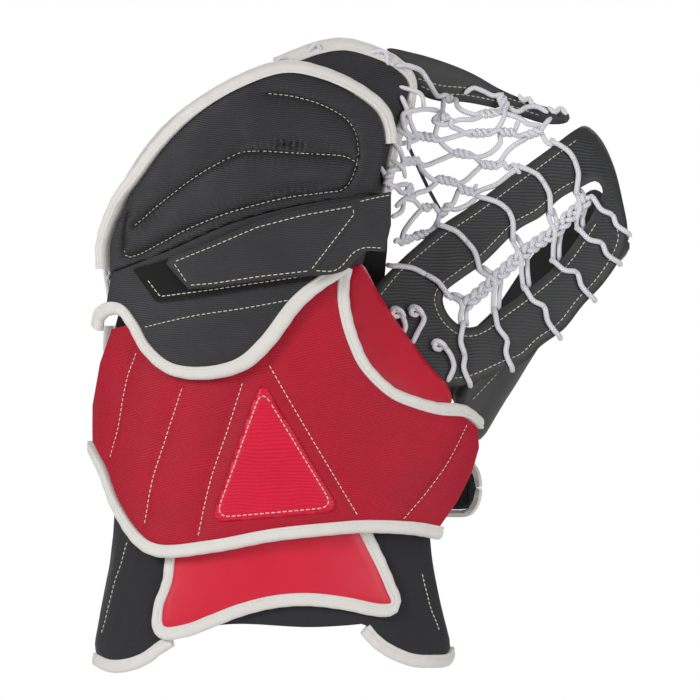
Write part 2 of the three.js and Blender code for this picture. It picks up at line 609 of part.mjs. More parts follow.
/** Lace that sews the back of the hand to the palm along the little finger's side. */
function littleFingerLace() {
  const stations = Array.from({ length: 9 }, (_, i) => 226 + 8 * i);
  const points = stations.map((z, i) => {
    const x = along([[220, -104.5], [250, -104], [300, -86]], z) * gradeX;
    return new THREE.Vector3(x, i % 2 ? 8 : -20, z * gradeZ);
  });
  add('little_finger_lace', laceTube(points, 18), whiteLace);
}

// ---- Wrist strap: it closes the cuff across the inside of the wrist ----
const strapCurve = new THREE.SplineCurve([
  new THREE.Vector2(-100, 34), new THREE.Vector2(-70, 50), new THREE.Vector2(0, 58),
  new THREE.Vector2(70, 52), new THREE.Vector2(116, 34), new THREE.Vector2(137, 12)]);

/** A strip that follows the strap's curve round the wrist, between two heights. */
function wristStrip([nearSide, farSide], [from, to], [foot, top]) {
  const steps = 12;
  const line = Array.from({ length: steps + 1 }, (_, i) => {
    const point = strapCurve.getPoint(THREE.MathUtils.lerp(from, to, i / steps));
    return new THREE.Vector2(point.x * gradeX, point.y);
  });
  const shape = new THREE.Shape(band(line, nearSide, farSide));
  const strip = new THREE.ExtrudeGeometry(shape, { depth: top - foot, bevelEnabled: false });
  strip.translate(0, 0, foot);
  return strip;
}

/** The tab that sews the wrist strap's fixed end to the inside of the cuff. */
function strapAnchor() {
  const line = [[-92, -22], [-99, -8], [-102, 8], [-101.5, 28]].map(([x, y]) => new THREE.Vector2(x * gradeX, y));
  const tab = new THREE.ExtrudeGeometry(
    new THREE.Shape(band(line, -STRAP_THICKNESS / 2, STRAP_THICKNESS / 2)), { depth: 24 * gradeZ, bevelEnabled: false });
  tab.translate(0, 0, 90 * gradeZ);
  add('wrist_strap_anchor', tab, blackNylon);
}

function wristStrap() {
  const foot = 78 * gradeZ;
  const top = 106 * gradeZ;
  add('wrist_strap', wristStrip([0, STRAP_THICKNESS], [0.04, 0.97], [foot, top]), blackNylon);
  add('wrist_strap_hook', wristStrip([-LAYER_GAP - HOOK_THICKNESS, -LAYER_GAP], [0.62, 0.96], [foot + 2, top - 2]),
    hookAndLoop);
  const proudBand = [-BINDING_PROUD, STRAP_THICKNESS + BINDING_PROUD];
  add('wrist_strap_top_binding', wristStrip(proudBand, [0.2, 0.97], [top + LAYER_GAP, top + 5]), whiteBinding);
  add('wrist_strap_foot_binding', wristStrip(proudBand, [0.2, 0.97], [foot - 5, foot - LAYER_GAP]), whiteBinding);
}

cuff();
backOfHand();
wristFlap();
handStrap();
cuffTab();
wristLiner();
palmSide();
sideGusset();
fingerStalls();
thumbWeb();
doubleTTrap();
thumbSide();
fingerRim();
pocketEdge();
fingerNet();
littleFingerLace();
strapAnchor();
wristStrap();

export default group;
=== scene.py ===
"""A goalie catch glove as it looks: each panel, binding, stitch and lace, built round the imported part.

Patterns are drawn flat in millimetres, as a glove maker cuts them, and laid over the same forms as the part's
solids. A level is the distance out from a form. Meshes are turned to metres as they are made.
"""
import logging
import math
from collections.abc import Callable, Iterable, Sequence
from dataclasses import dataclass, field
from enum import Enum

import bmesh
import bpy
import numpy as np
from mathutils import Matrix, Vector
from mathutils.geometry import delaunay_2d_cdt


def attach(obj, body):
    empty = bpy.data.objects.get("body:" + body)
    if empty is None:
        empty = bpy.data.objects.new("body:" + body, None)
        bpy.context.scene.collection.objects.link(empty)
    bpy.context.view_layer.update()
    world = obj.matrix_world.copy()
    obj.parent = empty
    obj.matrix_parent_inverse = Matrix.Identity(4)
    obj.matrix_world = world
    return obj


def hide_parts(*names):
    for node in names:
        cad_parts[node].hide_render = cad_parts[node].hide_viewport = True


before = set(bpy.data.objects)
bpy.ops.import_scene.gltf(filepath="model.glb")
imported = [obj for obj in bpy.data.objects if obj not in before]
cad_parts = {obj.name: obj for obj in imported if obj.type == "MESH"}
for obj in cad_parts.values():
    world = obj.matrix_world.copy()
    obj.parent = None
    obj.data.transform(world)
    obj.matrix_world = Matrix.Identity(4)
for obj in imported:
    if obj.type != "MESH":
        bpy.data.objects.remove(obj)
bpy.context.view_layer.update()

log = logging.getLogger("glove")

MM = 0.001
CLOTH_FRAMES = 20
CLOTH_TENSION = 12
CLOTH_BENDING = 0.3
# Points this near a seam or an edge, in millimetres, are sewn and stay put while a pad is blown up.
SEWN_MARGIN = 1.0
PUCKER_PITCH = 3.9
Line = Sequence[tuple[float, float]]
Array = np.ndarray


# ---------------------------------------------------------------- lines and curves
def stations(table: Line, at: Array) -> Array:
    """Values eased between stations.

    Args:
        table: (place, value) stations in rising order.
        at: the places asked for.

    Returns:
        The value at each place.
    """
    places, values = np.array(table, float).T
    i = np.clip(np.searchsorted(places, at, side="right") - 1, 0, len(places) - 2)
    share = np.clip((at - places[i]) / (places[i + 1] - places[i]), 0, 1)
    return values[i] + (values[i + 1] - values[i]) * share * share * (3 - 2 * share)


def smooth(low: float, high: float, at: Array) -> Array:
    """An eased step from 0 at low to 1 at high."""
    share = np.clip((at - low) / (high - low), 0, 1)
    return share * share * (3 - 2 * share)


def crown(share: Array) -> Array:
    """The rise of a puffed panel from a seam: a quarter circle, 0 at the seam and 1 from share 1 on."""
    return np.sqrt(1 - (1 - np.clip(share, 0, 1)) ** 2)


def travel(line: Array) -> Array:
    """The distance travelled along a line, at each of its points."""
    return np.concatenate([[0.0], np.cumsum(np.linalg.norm(np.diff(line, axis=0), axis=1))])


def at_travel(line: Array, places: Array) -> Array:
    """The points of a line at the distances travelled."""
    so_far = travel(line)
    return np.stack([np.interp(places, so_far, axis) for axis in line.T], -1)


def even(line: Array, step: float) -> Array:
    """The same line in even steps of about that length."""
    length = travel(line)[-1]
    return at_travel(line, np.linspace(0, length, max(2, round(length / step)) + 1))


def spline(points: Line | Array, step: float, closed: bool = False) -> Array:
    """A smooth line through points.

    Args:
        points: the points, in two or three dimensions.
        step: the distance between the points given back.
        closed: whether the line comes back to its start.

    Returns:
        The line in even steps. A closed one doesn't repeat its first point.
    """
    p = np.array(points, float)
    p = np.vstack([p[-1:], p, p[:2]]) if closed else np.vstack([2 * p[0] - p[1], p, 2 * p[-1] - p[-2]])
    s = np.linspace(0, 1, 16, endpoint=False)[:, None]
    dense = []
    for p0, p1, p2, p3 in zip(p, p[1:], p[2:], p[3:]):
        t1, t2, t3 = (max(np.linalg.norm(b - a), 1e-9) ** 0.5 for a, b in ((p0, p1), (p1, p2), (p2, p3)))
        m1 = t2 * ((p1 - p0) / t1 - (p2 - p0) / (t1 + t2) + (p2 - p1) / t2)
        m2 = t2 * ((p2 - p1) / t2 - (p3 - p1) / (t2 + t3) + (p3 - p2) / t3)
        dense.append((2 * s**3 - 3 * s**2 + 1) * p1 + (s**3 - 2 * s**2 + s) * m1
                     + (3 * s**2 - 2 * s**3) * p2 + (s**3 - s**2) * m2)
    dense.append(p[-2:-1])
    line = even(np.vstack(dense), step)
    return line[:-1] if closed else line


def beside(line: Array, distance: float) -> Array:
    """A flat line moved sideways, to the left of its travel."""
    heading = np.gradient(line, axis=0)
    heading /= np.linalg.norm(heading, axis=1)[:, None]
    return line + distance * np.column_stack([-heading[:, 1], heading[:, 0]])


def nearest(points: Array, line: Array, closed: bool = False) -> tuple[Array, Array]:
    """How far points lie from a flat line.

    Args:
        points: the points.
        line: the line.
        closed: whether the line's end joins its start.

    Returns:
        The distance of each point, and how far along the line its nearest place is.
    """
    line = np.vstack([line, line[:1]]) if closed else line
    a, ab = line[:-1], np.diff(line, axis=0)
    length = np.linalg.norm(ab, axis=1)
    reach = points[:, None] - a
    share = np.clip((reach * ab).sum(2) / np.maximum(length**2, 1e-12), 0, 1)
    gap = np.linalg.norm(reach - share[..., None] * ab, axis=2)
    best = gap.argmin(1)
    rows = np.arange(len(points))
    return gap[rows, best], travel(line)[best] + share[rows, best] * length[best]


def inside(points: Array, loop: Array) -> Array:
    """Which points lie inside a closed flat line."""
    x, y = points[:, :1], points[:, 1:]
    a, b = loop, np.roll(loop, -1, 0)
    crosses = (a[:, 1] > y) != (b[:, 1] > y)
    rise = np.where(b[:, 1] == a[:, 1], 1e-12, b[:, 1] - a[:, 1])
    return (crosses & (x < a[:, 0] + (y - a[:, 1]) * (b[:, 0] - a[:, 0]) / rise)).sum(1) % 2 == 1


# ---------------------------------------------------------------- forms
HAND_DEPTH = 52.0
PALM_DEPTH = 34.0
FINGER_CURL = 42.0
UNROLL = 115.0
WIDTHS = ((-30, 125), (60, 118), (125, 123), (250, 113), (380, 113))
MIDDLES = ((-30, 0), (125, 10), (250, -6), (380, -6))


class Form:
    """A surface that patterns are laid over."""

    def flatten(self, points: Array, level: float) -> Array:
        """Pattern places from places seen square on, at a level."""
        return np.array(points, float)

    def place(self, flat: Array, level: Array | float) -> Array:
        """Points in space from pattern places and levels, in millimetres."""
        raise NotImplementedError


class HandBack(Form):
    """The hand's back: an oval round the wrist, knuckles and fingers, curling at the fingertips."""

    def flatten(self, points: Array, level: float) -> Array:
        """Pattern places from places seen square on, at a level."""
        x, z = np.array(points, float).T
        reach = (x - stations(MIDDLES, z)) / (stations(WIDTHS, z) + level)
        past = np.maximum(0, np.abs(reach) - 1)
        angle = np.sign(reach) * (np.arcsin(np.minimum(1, np.abs(reach))) + past)
        return np.column_stack([angle * UNROLL, z])

    def place(self, flat: Array, level: Array | float) -> Array:
        """Points in space from pattern places and levels, in millimetres."""
        angle, z = flat[..., 0] / UNROLL, flat[..., 1]
        x = stations(MIDDLES, z) + (stations(WIDTHS, z) + level) * np.sin(angle)
        curl = FINGER_CURL * (np.maximum(0, z - 235) / 145) ** 2
        return np.stack([x, curl - (HAND_DEPTH + level) * np.cos(angle), z], -1)


@dataclass(frozen=True)
class HeightForm(Form):
    """A form whose depth is a function of the place seen square on.

    Attributes:
        depth: the depth at x and z.
    """

    depth: Callable[[Array, Array], Array]

    def place(self, flat: Array, level: Array | float) -> Array:
        """Points in space from pattern places and levels, in millimetres."""
        x, z = flat[..., 0], flat[..., 1]
        return np.stack([x, self.depth(x, z) - level, z], -1)


def palm_depth(x: Array, z: Array) -> Array:
    """The depth of the palm leather."""
    across = (x - stations(MIDDLES, z)) / stations(WIDTHS, z)
    return PALM_DEPTH - 22 * across**2 - stations(((300, 0), (385, 16)), z)


FOLD_START = np.array([61.0, 215.0])
FOLD_END = np.array([196.0, 328.3])
FOLD_ALONG = (FOLD_END - FOLD_START) / np.linalg.norm(FOLD_END - FOLD_START)
FOLD_ACROSS = np.array([FOLD_ALONG[1], -FOLD_ALONG[0]])
TRAP_FRONT = -4.0
TRAP_RISE = 0.22


def trap_fall(s: Array, t: Array) -> Array:
    """The depth of the trap, at a distance along its fold and across it."""
    tip, outer = np.maximum(0, s - 150), np.maximum(0, t - 60)
    return TRAP_FRONT + TRAP_RISE * s + 0.012 * tip**2 + 0.003 * outer**2


def trap_depth(x: Array, z: Array) -> Array:
    """The depth of the trap's face."""
    from_start = np.stack([x, z], -1) - FOLD_START
    return trap_fall(from_start @ FOLD_ALONG, from_start @ FOLD_ACROSS)


WEB_TOP = np.array([54.0, 237.0])
WEB_FOOT = np.array([111.0, 155.0])
WEB_ALONG = (WEB_FOOT - WEB_TOP) / np.linalg.norm(WEB_FOOT - WEB_TOP)


def web_depth(x: Array, z: Array) -> Array:
    """The depth of the thumb's web pad."""
    inward = (np.stack([x, z], -1) - WEB_TOP) @ np.array([WEB_ALONG[1], -WEB_ALONG[0]])
    return -13 - 0.75 * inward


def rim_depth(x: Array, z: Array) -> Array:
    """The depth of the leather rim over the fingertips."""
    return 26 + 0.2 * (x - 70)


@dataclass(frozen=True)
class ThumbForm(Form):
    """The thumb's side: it leaves the trap's second fold and turns away from the back of the hand.

    Attributes:
        reach: how far the pattern runs from the fold, in millimetres.
        fold: how far the second fold lies from the first.
        front: the depth at the fold's low end.
    """

    reach: float = 118.0
    fold: float = 84.0
    front: float = TRAP_FRONT + 15.0

    def section(self, s: Array, share: Array) -> Array:
        """How far past the fold, and how deep, the panel lies at a share of its reach."""
        bulge = np.maximum(2, 32 - 0.33 * (s + 3))
        lean = 26 + 0.22 * np.maximum(0, s - 60)
        deep = stations(((50, 1), (165, 0.4)), s)
        none = np.zeros_like(s)
        knots = np.stack([np.stack([none, 0.85 * bulge, bulge, 0.6 * bulge - 0.25 * lean,
                                    0.2 * bulge - lean]),
                          np.stack([none, 14 * deep, 38 * deep, 70 * deep, 98 * deep])], -1)
        p = share * (len(knots) - 1)
        i = np.clip(np.floor(p).astype(int), 0, len(knots) - 2)
        w = (p - i)[:, None]
        pick = [np.take_along_axis(knots, np.clip(i + k, 0, len(knots) - 1)[None, :, None], 0)[0]
                for k in (-1, 0, 1, 2)]
        v0, v1 = (pick[2] - pick[0]) / 2, (pick[3] - pick[1]) / 2
        return ((2 * pick[1] - 2 * pick[2] + v0 + v1) * w**3
                + (3 * pick[2] - 3 * pick[1] - 2 * v0 - v1) * w**2 + v0 * w + pick[1])

    def place(self, flat: Array, level: Array | float) -> Array:
        """Points in space from pattern places and levels, in millimetres."""
        r, s = (axis.ravel() for axis in np.moveaxis(flat, -1, 0))
        level = np.broadcast_to(level, flat.shape[:-1]).ravel()
        share = np.clip(r / self.reach, 1e-3, 1 - 1e-3)
        at = self.section(s, share)
        heading = self.section(s, share + 1e-3) - self.section(s, share - 1e-3)
        heading /= np.linalg.norm(heading, axis=1)[:, None]
        across = self.fold + at[:, 0] + heading[:, 1] * level
        point = FOLD_START + s[:, None] * FOLD_ALONG + across[:, None] * FOLD_ACROSS
        depth = self.front + TRAP_RISE * s + at[:, 1] - heading[:, 0] * level
        return np.column_stack([point[:, 0], depth, point[:, 1]]).reshape(*flat.shape[:-1], 3)


@dataclass(frozen=True)
class StripForm(Form):
    """A strip that stands on a line seen from above: the pattern is (distance along it, height).

    Attributes:
        line: the line from above, in even steps.
    """

    line: Array

    def place(self, flat: Array, level: Array | float) -> Array:
        """Points in space from pattern places and levels, in millimetres."""
        so_far = travel(self.line)
        heading = np.gradient(self.line, axis=0)
        heading /= np.linalg.norm(heading, axis=1)[:, None]
        x, y, hx, hy = (np.interp(flat[..., 0], so_far, axis) for axis in (*self.line.T, *heading.T))
        return np.stack([x + hy * level, y - hx * level, flat[..., 1]], -1)


HAND = HandBack()
PALM = HeightForm(palm_depth)
TRAP = HeightForm(trap_depth)
WEB = HeightForm(web_depth)
RIM = HeightForm(rim_depth)
THUMB = ThumbForm()


# ---------------------------------------------------------------- finishes
def linear(colour: str) -> tuple[float, float, float, float]:
    """A hex sRGB colour as linear light with full alpha."""
    shares = [int(colour[i : i + 2], 16) / 255 for i in (1, 3, 5)]
    return (*((c / 12.92 if c <= 0.04045 else ((c + 0.055) / 1.055) ** 2.4) for c in shares), 1.0)


def add_node(tree: bpy.types.NodeTree, kind: str, values: dict | None = None, links: dict | None = None,
             **settings: object) -> bpy.types.Node:
    """Adds a node.

    Args:
        tree: the node tree.
        kind: the node's type.
        values: a value for each named or numbered input.
        links: the output that feeds each named or numbered input.
        **settings: the node's own settings.

    Returns:
        The node.
    """
    made = tree.nodes.new(kind)
    for name, value in settings.items():
        setattr(made, name, value)
    for socket, value in (values or {}).items():
        made.inputs[socket].default_value = value
    for socket, source in (links or {}).items():
        tree.links.new(source, made.inputs[socket])
    return made


@dataclass
class Loom:
    """What a finish draws its patterns with, in one material's node tree.

    Attributes:
        tree: the node tree.
    """

    tree: bpy.types.NodeTree
    axes: bpy.types.Node = field(init=False)
    space: bpy.types.Node = field(init=False)

    def __post_init__(self) -> None:
        """Reads the pattern's place in millimetres, and the place in space."""
        flat = add_node(self.tree, "ShaderNodeUVMap", uv_map="pattern")
        self.axes = add_node(self.tree, "ShaderNodeSeparateXYZ", links={0: flat.outputs[0]})
        self.space = add_node(self.tree, "ShaderNodeTexCoord")

    def sum(self, kind: str, a: object, b: object = 0.0, c: object = 0.0) -> bpy.types.NodeSocket:
        """One arithmetic step on sockets or numbers."""
        given = dict(enumerate((a, b, c)))
        links = {i: v for i, v in given.items() if isinstance(v, bpy.types.NodeSocket)}
        values = {i: v for i, v in given.items() if i not in links}
        return add_node(self.tree, "ShaderNodeMath", values, links, operation=kind).outputs[0]

    def noise(self, size_mm: float, detail: float = 2.0) -> bpy.types.NodeSocket:
        """Soft noise in space, with lumps of about that size."""
        return add_node(self.tree, "ShaderNodeTexNoise", {"Scale": 1 / (size_mm * MM), "Detail": detail},
                        {"Vector": self.space.outputs["Object"]}).outputs[0]

    def ribs(self, across: float, along: float, pitch_mm: float, wander: float = 0.0) -> bpy.types.NodeSocket:
        """Round ribs.

        Args:
            across: how much the pattern's width counts towards the ribs' phase.
            along: how much its length counts.
            pitch_mm: the distance between ribs.
            wander: how far the ribs wander, in millimetres.

        Returns:
            Their height, from 0 to 1.
        """
        place = self.sum("MULTIPLY_ADD", self.axes.outputs[0], across,
                         self.sum("MULTIPLY", self.axes.outputs[1], along))
        if wander:
            place = self.sum("MULTIPLY_ADD", self.noise(26.0), wander, place)
        wave = self.sum("SINE", self.sum("MULTIPLY", place, 2 * math.pi / pitch_mm))
        return self.sum("MULTIPLY_ADD", wave, 0.5, 0.5)


@dataclass(frozen=True)
class Finish:
    """A material and how its surface was made.

    Attributes:
        name: the material's name.
        slot: the record's material slot; not used.
        colour: its colour in the light.
        hollow_shade: its colour in the hollows of the pattern, a painted shade.
        roughness: how dull it is.
        relief: how deep its pattern is, in millimetres.
        sheen: how much soft light its fibres catch.
        specular: how much light it mirrors.
    """

    name: str
    slot: str
    colour: str
    hollow_shade: str
    roughness: float
    relief: float
    sheen: float = 0.0
    specular: float = 0.5

    def height(self, loom: Loom) -> bpy.types.NodeSocket:
        """The pattern's height, from 0 to 1: here a fine grain, which is all that a moulded piece shows."""
        return loom.noise(1.4, 4.0)

    def make(self) -> bpy.types.Material:
        """The Blender material, made the first time it is asked for."""
        known = bpy.data.materials.get(self.name)
        if known:
            return known
        material = bpy.data.materials.new(self.name)
        material.use_nodes = True
        tree = material.node_tree
        tree.nodes.clear()
        loom = Loom(tree)
        height = self.height(loom)
        # Cloth and leather are never one even colour: dye takes unevenly, in patches. The colour also follows
        # the pattern's height as painted shade: its hollows are painted darker and its raised parts lighter.
        patches = loom.noise(38.0, 3.0)
        share = loom.sum("MULTIPLY_ADD", height, 0.7, loom.sum("MULTIPLY", patches, 0.45))
        colour = add_node(tree, "ShaderNodeMix", {6: linear(self.hollow_shade), 7: linear(self.colour)}, {0: share},
                          data_type="RGBA")
        dull = loom.sum("MULTIPLY_ADD", patches, 0.16, self.roughness - 0.08)
        bump = add_node(tree, "ShaderNodeBump", {"Strength": 1.0, "Distance": self.relief * MM},
                        {"Height": height})
        shader = add_node(tree, "ShaderNodeBsdfPrincipled",
                          {"Sheen Weight": self.sheen, "Sheen Roughness": 0.4,
                           "Specular IOR Level": self.specular},
                          {"Base Color": colour.outputs[2], "Roughness": dull, "Normal": bump.outputs[0]})
        add_node(tree, "ShaderNodeOutputMaterial", links={0: shader.outputs[0]})
        return material


@dataclass(frozen=True)
class RibbedNylon(Finish):
    """Woven ballistic nylon: fine round ribs that bend as the cloth is pulled over the padding.

    Attributes:
        rib: the distance between ribs in millimetres. The real one is about 0.6, too fine to show, so it is
            drawn coarser.
        lean: how much the ribs lean from straight across.
    """

    rib: float = 1.35
    lean: float = 0.12

    def height(self, loom: Loom) -> bpy.types.NodeSocket:
        """Ribs, broken up by the threads that cross them."""
        ribs = loom.ribs(self.lean, 1.0, self.rib, 7.0)
        threads = loom.ribs(1.0, 0.0, 0.75 * self.rib, 1.0)
        crossed = loom.sum("MULTIPLY", ribs, threads)
        return loom.sum("MULTIPLY_ADD", crossed, 0.35, loom.sum("MULTIPLY", ribs, 0.6))


@dataclass(frozen=True)
class GrainedLeather(Finish):
    """Split leather and its synthetic twin: a pebble grain pressed into the surface.

    Attributes:
        grain: the width of a pebble in millimetres.
    """

    grain: float = 1.3

    def height(self, loom: Loom) -> bpy.types.NodeSocket:
        """Pebbles with creases between them."""
        cells = add_node(loom.tree, "ShaderNodeTexVoronoi", {"Scale": 1 / (self.grain * MM)},
                         {"Vector": loom.space.outputs["Object"]}, feature="DISTANCE_TO_EDGE")
        edge = loom.sum("MULTIPLY", cells.outputs["Distance"], 3.0)
        return loom.sum("MULTIPLY_ADD", loom.noise(6.0), 0.4, loom.sum("MINIMUM", edge, 0.6))


@dataclass(frozen=True)
class CoatedSynthetic(Finish):
    """Polyurethane-coated cloth: smooth and slightly glossy, with only a faint grain."""

    def height(self, loom: Loom) -> bpy.types.NodeSocket:
        """A faint grain over soft hollows."""
        return loom.sum("MULTIPLY_ADD", loom.noise(0.9, 3.0), 0.4, loom.sum("MULTIPLY", loom.noise(7.0), 0.5))


@dataclass(frozen=True)
class WovenTape(Finish):
    """Folded binding tape: a fine twill over soft lumps, painted a little grey in its hollows as shade."""

    def height(self, loom: Loom) -> bpy.types.NodeSocket:
        """A twill drawn at 1.5 mm, since its real 0.4 mm is too fine to show."""
        twill = loom.ribs(0.8, 1.0, 1.5)
        return loom.sum("MULTIPLY_ADD", twill, 0.45, loom.sum("MULTIPLY", loom.noise(9.0, 3.0), 0.6))


@dataclass(frozen=True)
class BraidedLace(Finish):
    """Waxed nylon lace: sixteen yarns braided round, which show as small diamonds.

    Attributes:
        lay: how far a yarn travels along the lace for each diamond, in millimetres.
    """

    lay: float = 1.7

    def height(self, loom: Loom) -> bpy.types.NodeSocket:
        """Yarns of both directions, the higher one on top."""
        turn = self.lay * 4 / LACE_GIRTH
        return loom.sum("MAXIMUM", loom.ribs(1.0, turn, self.lay), loom.ribs(1.0, -turn, self.lay))


@dataclass(frozen=True)
class BrushedKnit(Finish):
    """Liner cloth: a close knit with its face brushed soft."""

    def height(self, loom: Loom) -> bpy.types.NodeSocket:
        """Rows of stitches, drawn at 1.4 mm, under short fuzz."""
        rows = loom.sum("MULTIPLY", loom.ribs(1.0, 0.5, 1.4), loom.ribs(1.0, -0.5, 1.4))
        return loom.sum("MULTIPLY_ADD", rows, 0.6, loom.sum("MULTIPLY", loom.noise(0.7), 0.4))


@dataclass(frozen=True)
class Pile(Finish):
    """Hook-and-loop cloth: a mat of loops that stands up, its hollows between tufts painted darker as shade.
    """

    def height(self, loom: Loom) -> bpy.types.NodeSocket:
        """Tufts of about a millimetre."""
        return loom.sum("MULTIPLY_ADD", loom.noise(0.9, 4.0), 0.7, loom.sum("MULTIPLY", loom.noise(4.0), 0.3))


LACE_RADIUS = 1.75
LACE_GIRTH = 2 * math.pi * LACE_RADIUS

# Each finish's second colour is painted shade for the hollows of its pattern; the first is the colour of its
# raised parts.
BLACK_NYLON = RibbedNylon("black_ballistic_nylon", "black_nylon", "#37373a", "#0b0b0d", 0.55, 0.24, 0.0, 0.4)
STRAP_NYLON = RibbedNylon("black_strap_nylon", "black_nylon", "#343437", "#101012", 0.55, 0.2, 0.0, 0.4)
TRAP_WEAVE = RibbedNylon("trap_ribbed_weave", "black_leather", "#353638", "#151517", 0.5, 0.2, 0.02, 0.45,
                         rib=2.1, lean=0.05)
BLACK_LEATHER = GrainedLeather("black_palm_leather", "black_leather", "#313233", "#1c1c1d", 0.5, 0.08)
THUMB_LEATHER = CoatedSynthetic("thumb_synthetic_leather", "thumb_leather", "#3d3e3f", "#2e2e2f", 0.55, 0.05)
RED_NYLON = RibbedNylon("red_ballistic_nylon", "red_nylon", "#c0122f", "#860a22", 0.6, 0.16, 0.0, 0.25,
                        rib=1.5, lean=-0.25)
RED_SYNTHETIC = CoatedSynthetic("red_coated_synthetic", "red_synthetic", "#cf1434", "#bd102d", 0.4, 0.04,
                                0.0, 0.4)
EMBLEM_RED = RibbedNylon("emblem_ribbed_synthetic", "emblem_red", "#e00f3c", "#b00a2b", 0.42, 0.1, 0.0, 0.3,
                         rib=2.3, lean=0.0)
WHITE_BINDING = WovenTape("white_binding_tape", "white_binding", "#dbd8d4", "#c8c4be", 0.6, 0.05, 0.0, 0.3)
WHITE_LACE = BraidedLace("white_braided_lace", "white_lace", "#e2e1e6", "#aeacb6", 0.6, 0.16, 0.0, 0.3)
CREAM_THREAD = Finish("cream_bonded_thread", "white_lace", "#ebe4d2", "#cfc6b0", 0.5, 0.05, 0.1)
WHITE_THREAD = Finish("white_bonded_thread", "white_lace", "#f2efe8", "#dcd8cf", 0.5, 0.05, 0.1)
LINER_KNIT = BrushedKnit("black_liner_knit", "liner_knit", "#333235", "#1c1c1e", 0.85, 0.15, 0.25, 0.3)
HOOK_PILE = Pile("black_loop_pile", "hook_and_loop", "#232324", "#0c0c0d", 0.95, 0.5, 0.35, 0.2)
GREY_FOAM = CoatedSynthetic("grey_closed_foam", "foam", "#5d5e62", "#4b4c50", 0.9, 0.1, 0.0, 0.3)
BLACK_BOARD = CoatedSynthetic("black_moulded_board", "plastic_board", "#232325", "#161618", 0.4, 0.02)


# ---------------------------------------------------------------- mesh making
class Held(Enum):
    """How a piece counts among the soft goods."""

    PADDED = "padded"
    SHEET = "sheet"


@dataclass
class Shape:
    """A mesh being gathered, in millimetres.

    Attributes:
        points: its points so far.
        faces: its faces so far.
        corners: the pattern place of each corner of each face.
        zones: which of the piece's finishes each face takes.
    """

    points: list[Array] = field(default_factory=list)
    faces: list[list[int]] = field(default_factory=list)
    corners: list[Array] = field(default_factory=list)
    zones: list[int] = field(default_factory=list)

    def add(self, points: Array, faces: Array | list, corners: Array, zone: Array | int = 0) -> None:
        """Adds one body's points and faces."""
        start = sum(len(p) for p in self.points)
        self.points.append(points)
        self.faces += [[int(i) + start for i in face] for face in faces]
        self.corners.append(corners)
        self.zones += list(np.broadcast_to(zone, len(faces)))

    def piece(self, name: str, body: str, finishes: Finish | Sequence[Finish], replaces: Iterable[str] = (),
              crease: float = 55.0) -> bpy.types.Object:
        """Makes the piece and fixes it to the part.

        Args:
            name: the piece's name.
            body: the body that it rides on.
            finishes: its finish, or one for each zone.
            replaces: the part's nodes that it stands for.
            crease: the angle in degrees from which an edge looks sharp.

        Returns:
            The piece.
        """
        finishes = [finishes] if isinstance(finishes, Finish) else list(finishes)
        mesh = bpy.data.meshes.new(name)
        mesh.from_pydata((np.vstack(self.points) * MM).tolist(), [], self.faces)
        layer = mesh.uv_layers.new(name="pattern")
        layer.data.foreach_set("uv", np.vstack(self.corners).astype(np.float32).ravel())
        facing = bmesh.new()
        facing.from_mesh(mesh)
        bmesh.ops.recalc_face_normals(facing, faces=facing.faces)
        facing.to_mesh(mesh)
        facing.free()
        mesh.polygons.foreach_set("use_smooth", np.ones(len(self.faces), bool))
        mesh.set_sharp_from_angle(angle=math.radians(crease))
        for finish in finishes:
            mesh.materials.append(finish.make())
        mesh.polygons.foreach_set("material_index", np.array(self.zones, np.int32))
        mesh.update()
        made = bpy.data.objects.new(name, mesh)
        bpy.context.scene.collection.objects.link(made)
        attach(made, body)
        if replaces:
            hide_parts(*replaces)
        log.info("%s: %d faces on %s", name, len(self.faces), body)
        return made


def triangulate(outline: Array, holes: Sequence[Array], lines: Sequence[Array], cell: float) -> tuple[Array,
                                                                                                      Array]:
    """Fills a flat outline with even triangles that follow its seams.

    Args:
        outline: the outline.
        holes: the outlines of its holes.
        lines: open lines that the triangles' edges follow.
        cell: the size of the triangles.

    Returns:
        The flat points and the triangles, wound anticlockwise.
    """
    rims = [(loop, True) for loop in (outline, *holes)] + [(line, False) for line in lines]
    places, edges = [], []
    for line, closed in rims:
        start, count = sum(len(p) for p in places), len(line)
        edges += [(start + i, start + (i + 1) % count) for i in range(count if closed else count - 1)]
        places.append(line)
    low, high = outline.min(0), outline.max(0)
    columns, rows = np.arange(low[0], high[0], cell), np.arange(low[1], high[1], cell * 0.866)
    grid = np.array([(x + (j % 2) * cell / 2, y) for j, y in enumerate(rows) for x in columns])
    grid = grid[inside(grid, outline)]
    for line, closed in rims:
        grid = grid[nearest(grid, line, closed)[0] > 0.55 * cell]
    every = np.vstack([*places, grid])
    points, _, faces, *_ = delaunay_2d_cdt([Vector(p) for p in every], edges, [], 0, 1e-4)
    points, faces = np.array([tuple(p) for p in points]), np.array([tuple(f) for f in faces])
    middle = points[faces].mean(1)
    kept = inside(middle, outline)
    for hole in holes:
        kept &= ~inside(middle, hole)
    faces = faces[kept]
    a, b, c = (points[faces[:, i]] for i in range(3))
    turned = (b - a)[:, 0] * (c - a)[:, 1] - (b - a)[:, 1] * (c - a)[:, 0] < 0
    faces[turned] = faces[turned][:, ::-1]
    used, faces = np.unique(faces, return_inverse=True)
    return points[used], faces.reshape(-1, 3)


def waves(flat: Array, size: float, seed: int) -> Array:
    """Gentle unevenness between -1 and 1, in lumps of about a size, the same for the same seed."""
    draw = np.random.default_rng(seed)
    turns, phases = draw.uniform(0, 2 * math.pi, (2, 7))
    spans = size * draw.uniform(0.7, 1.8, 7)
    heads = np.stack([np.cos(turns), np.sin(turns)])
    return np.sin(2 * math.pi * (flat @ heads) / spans + phases).mean(-1)


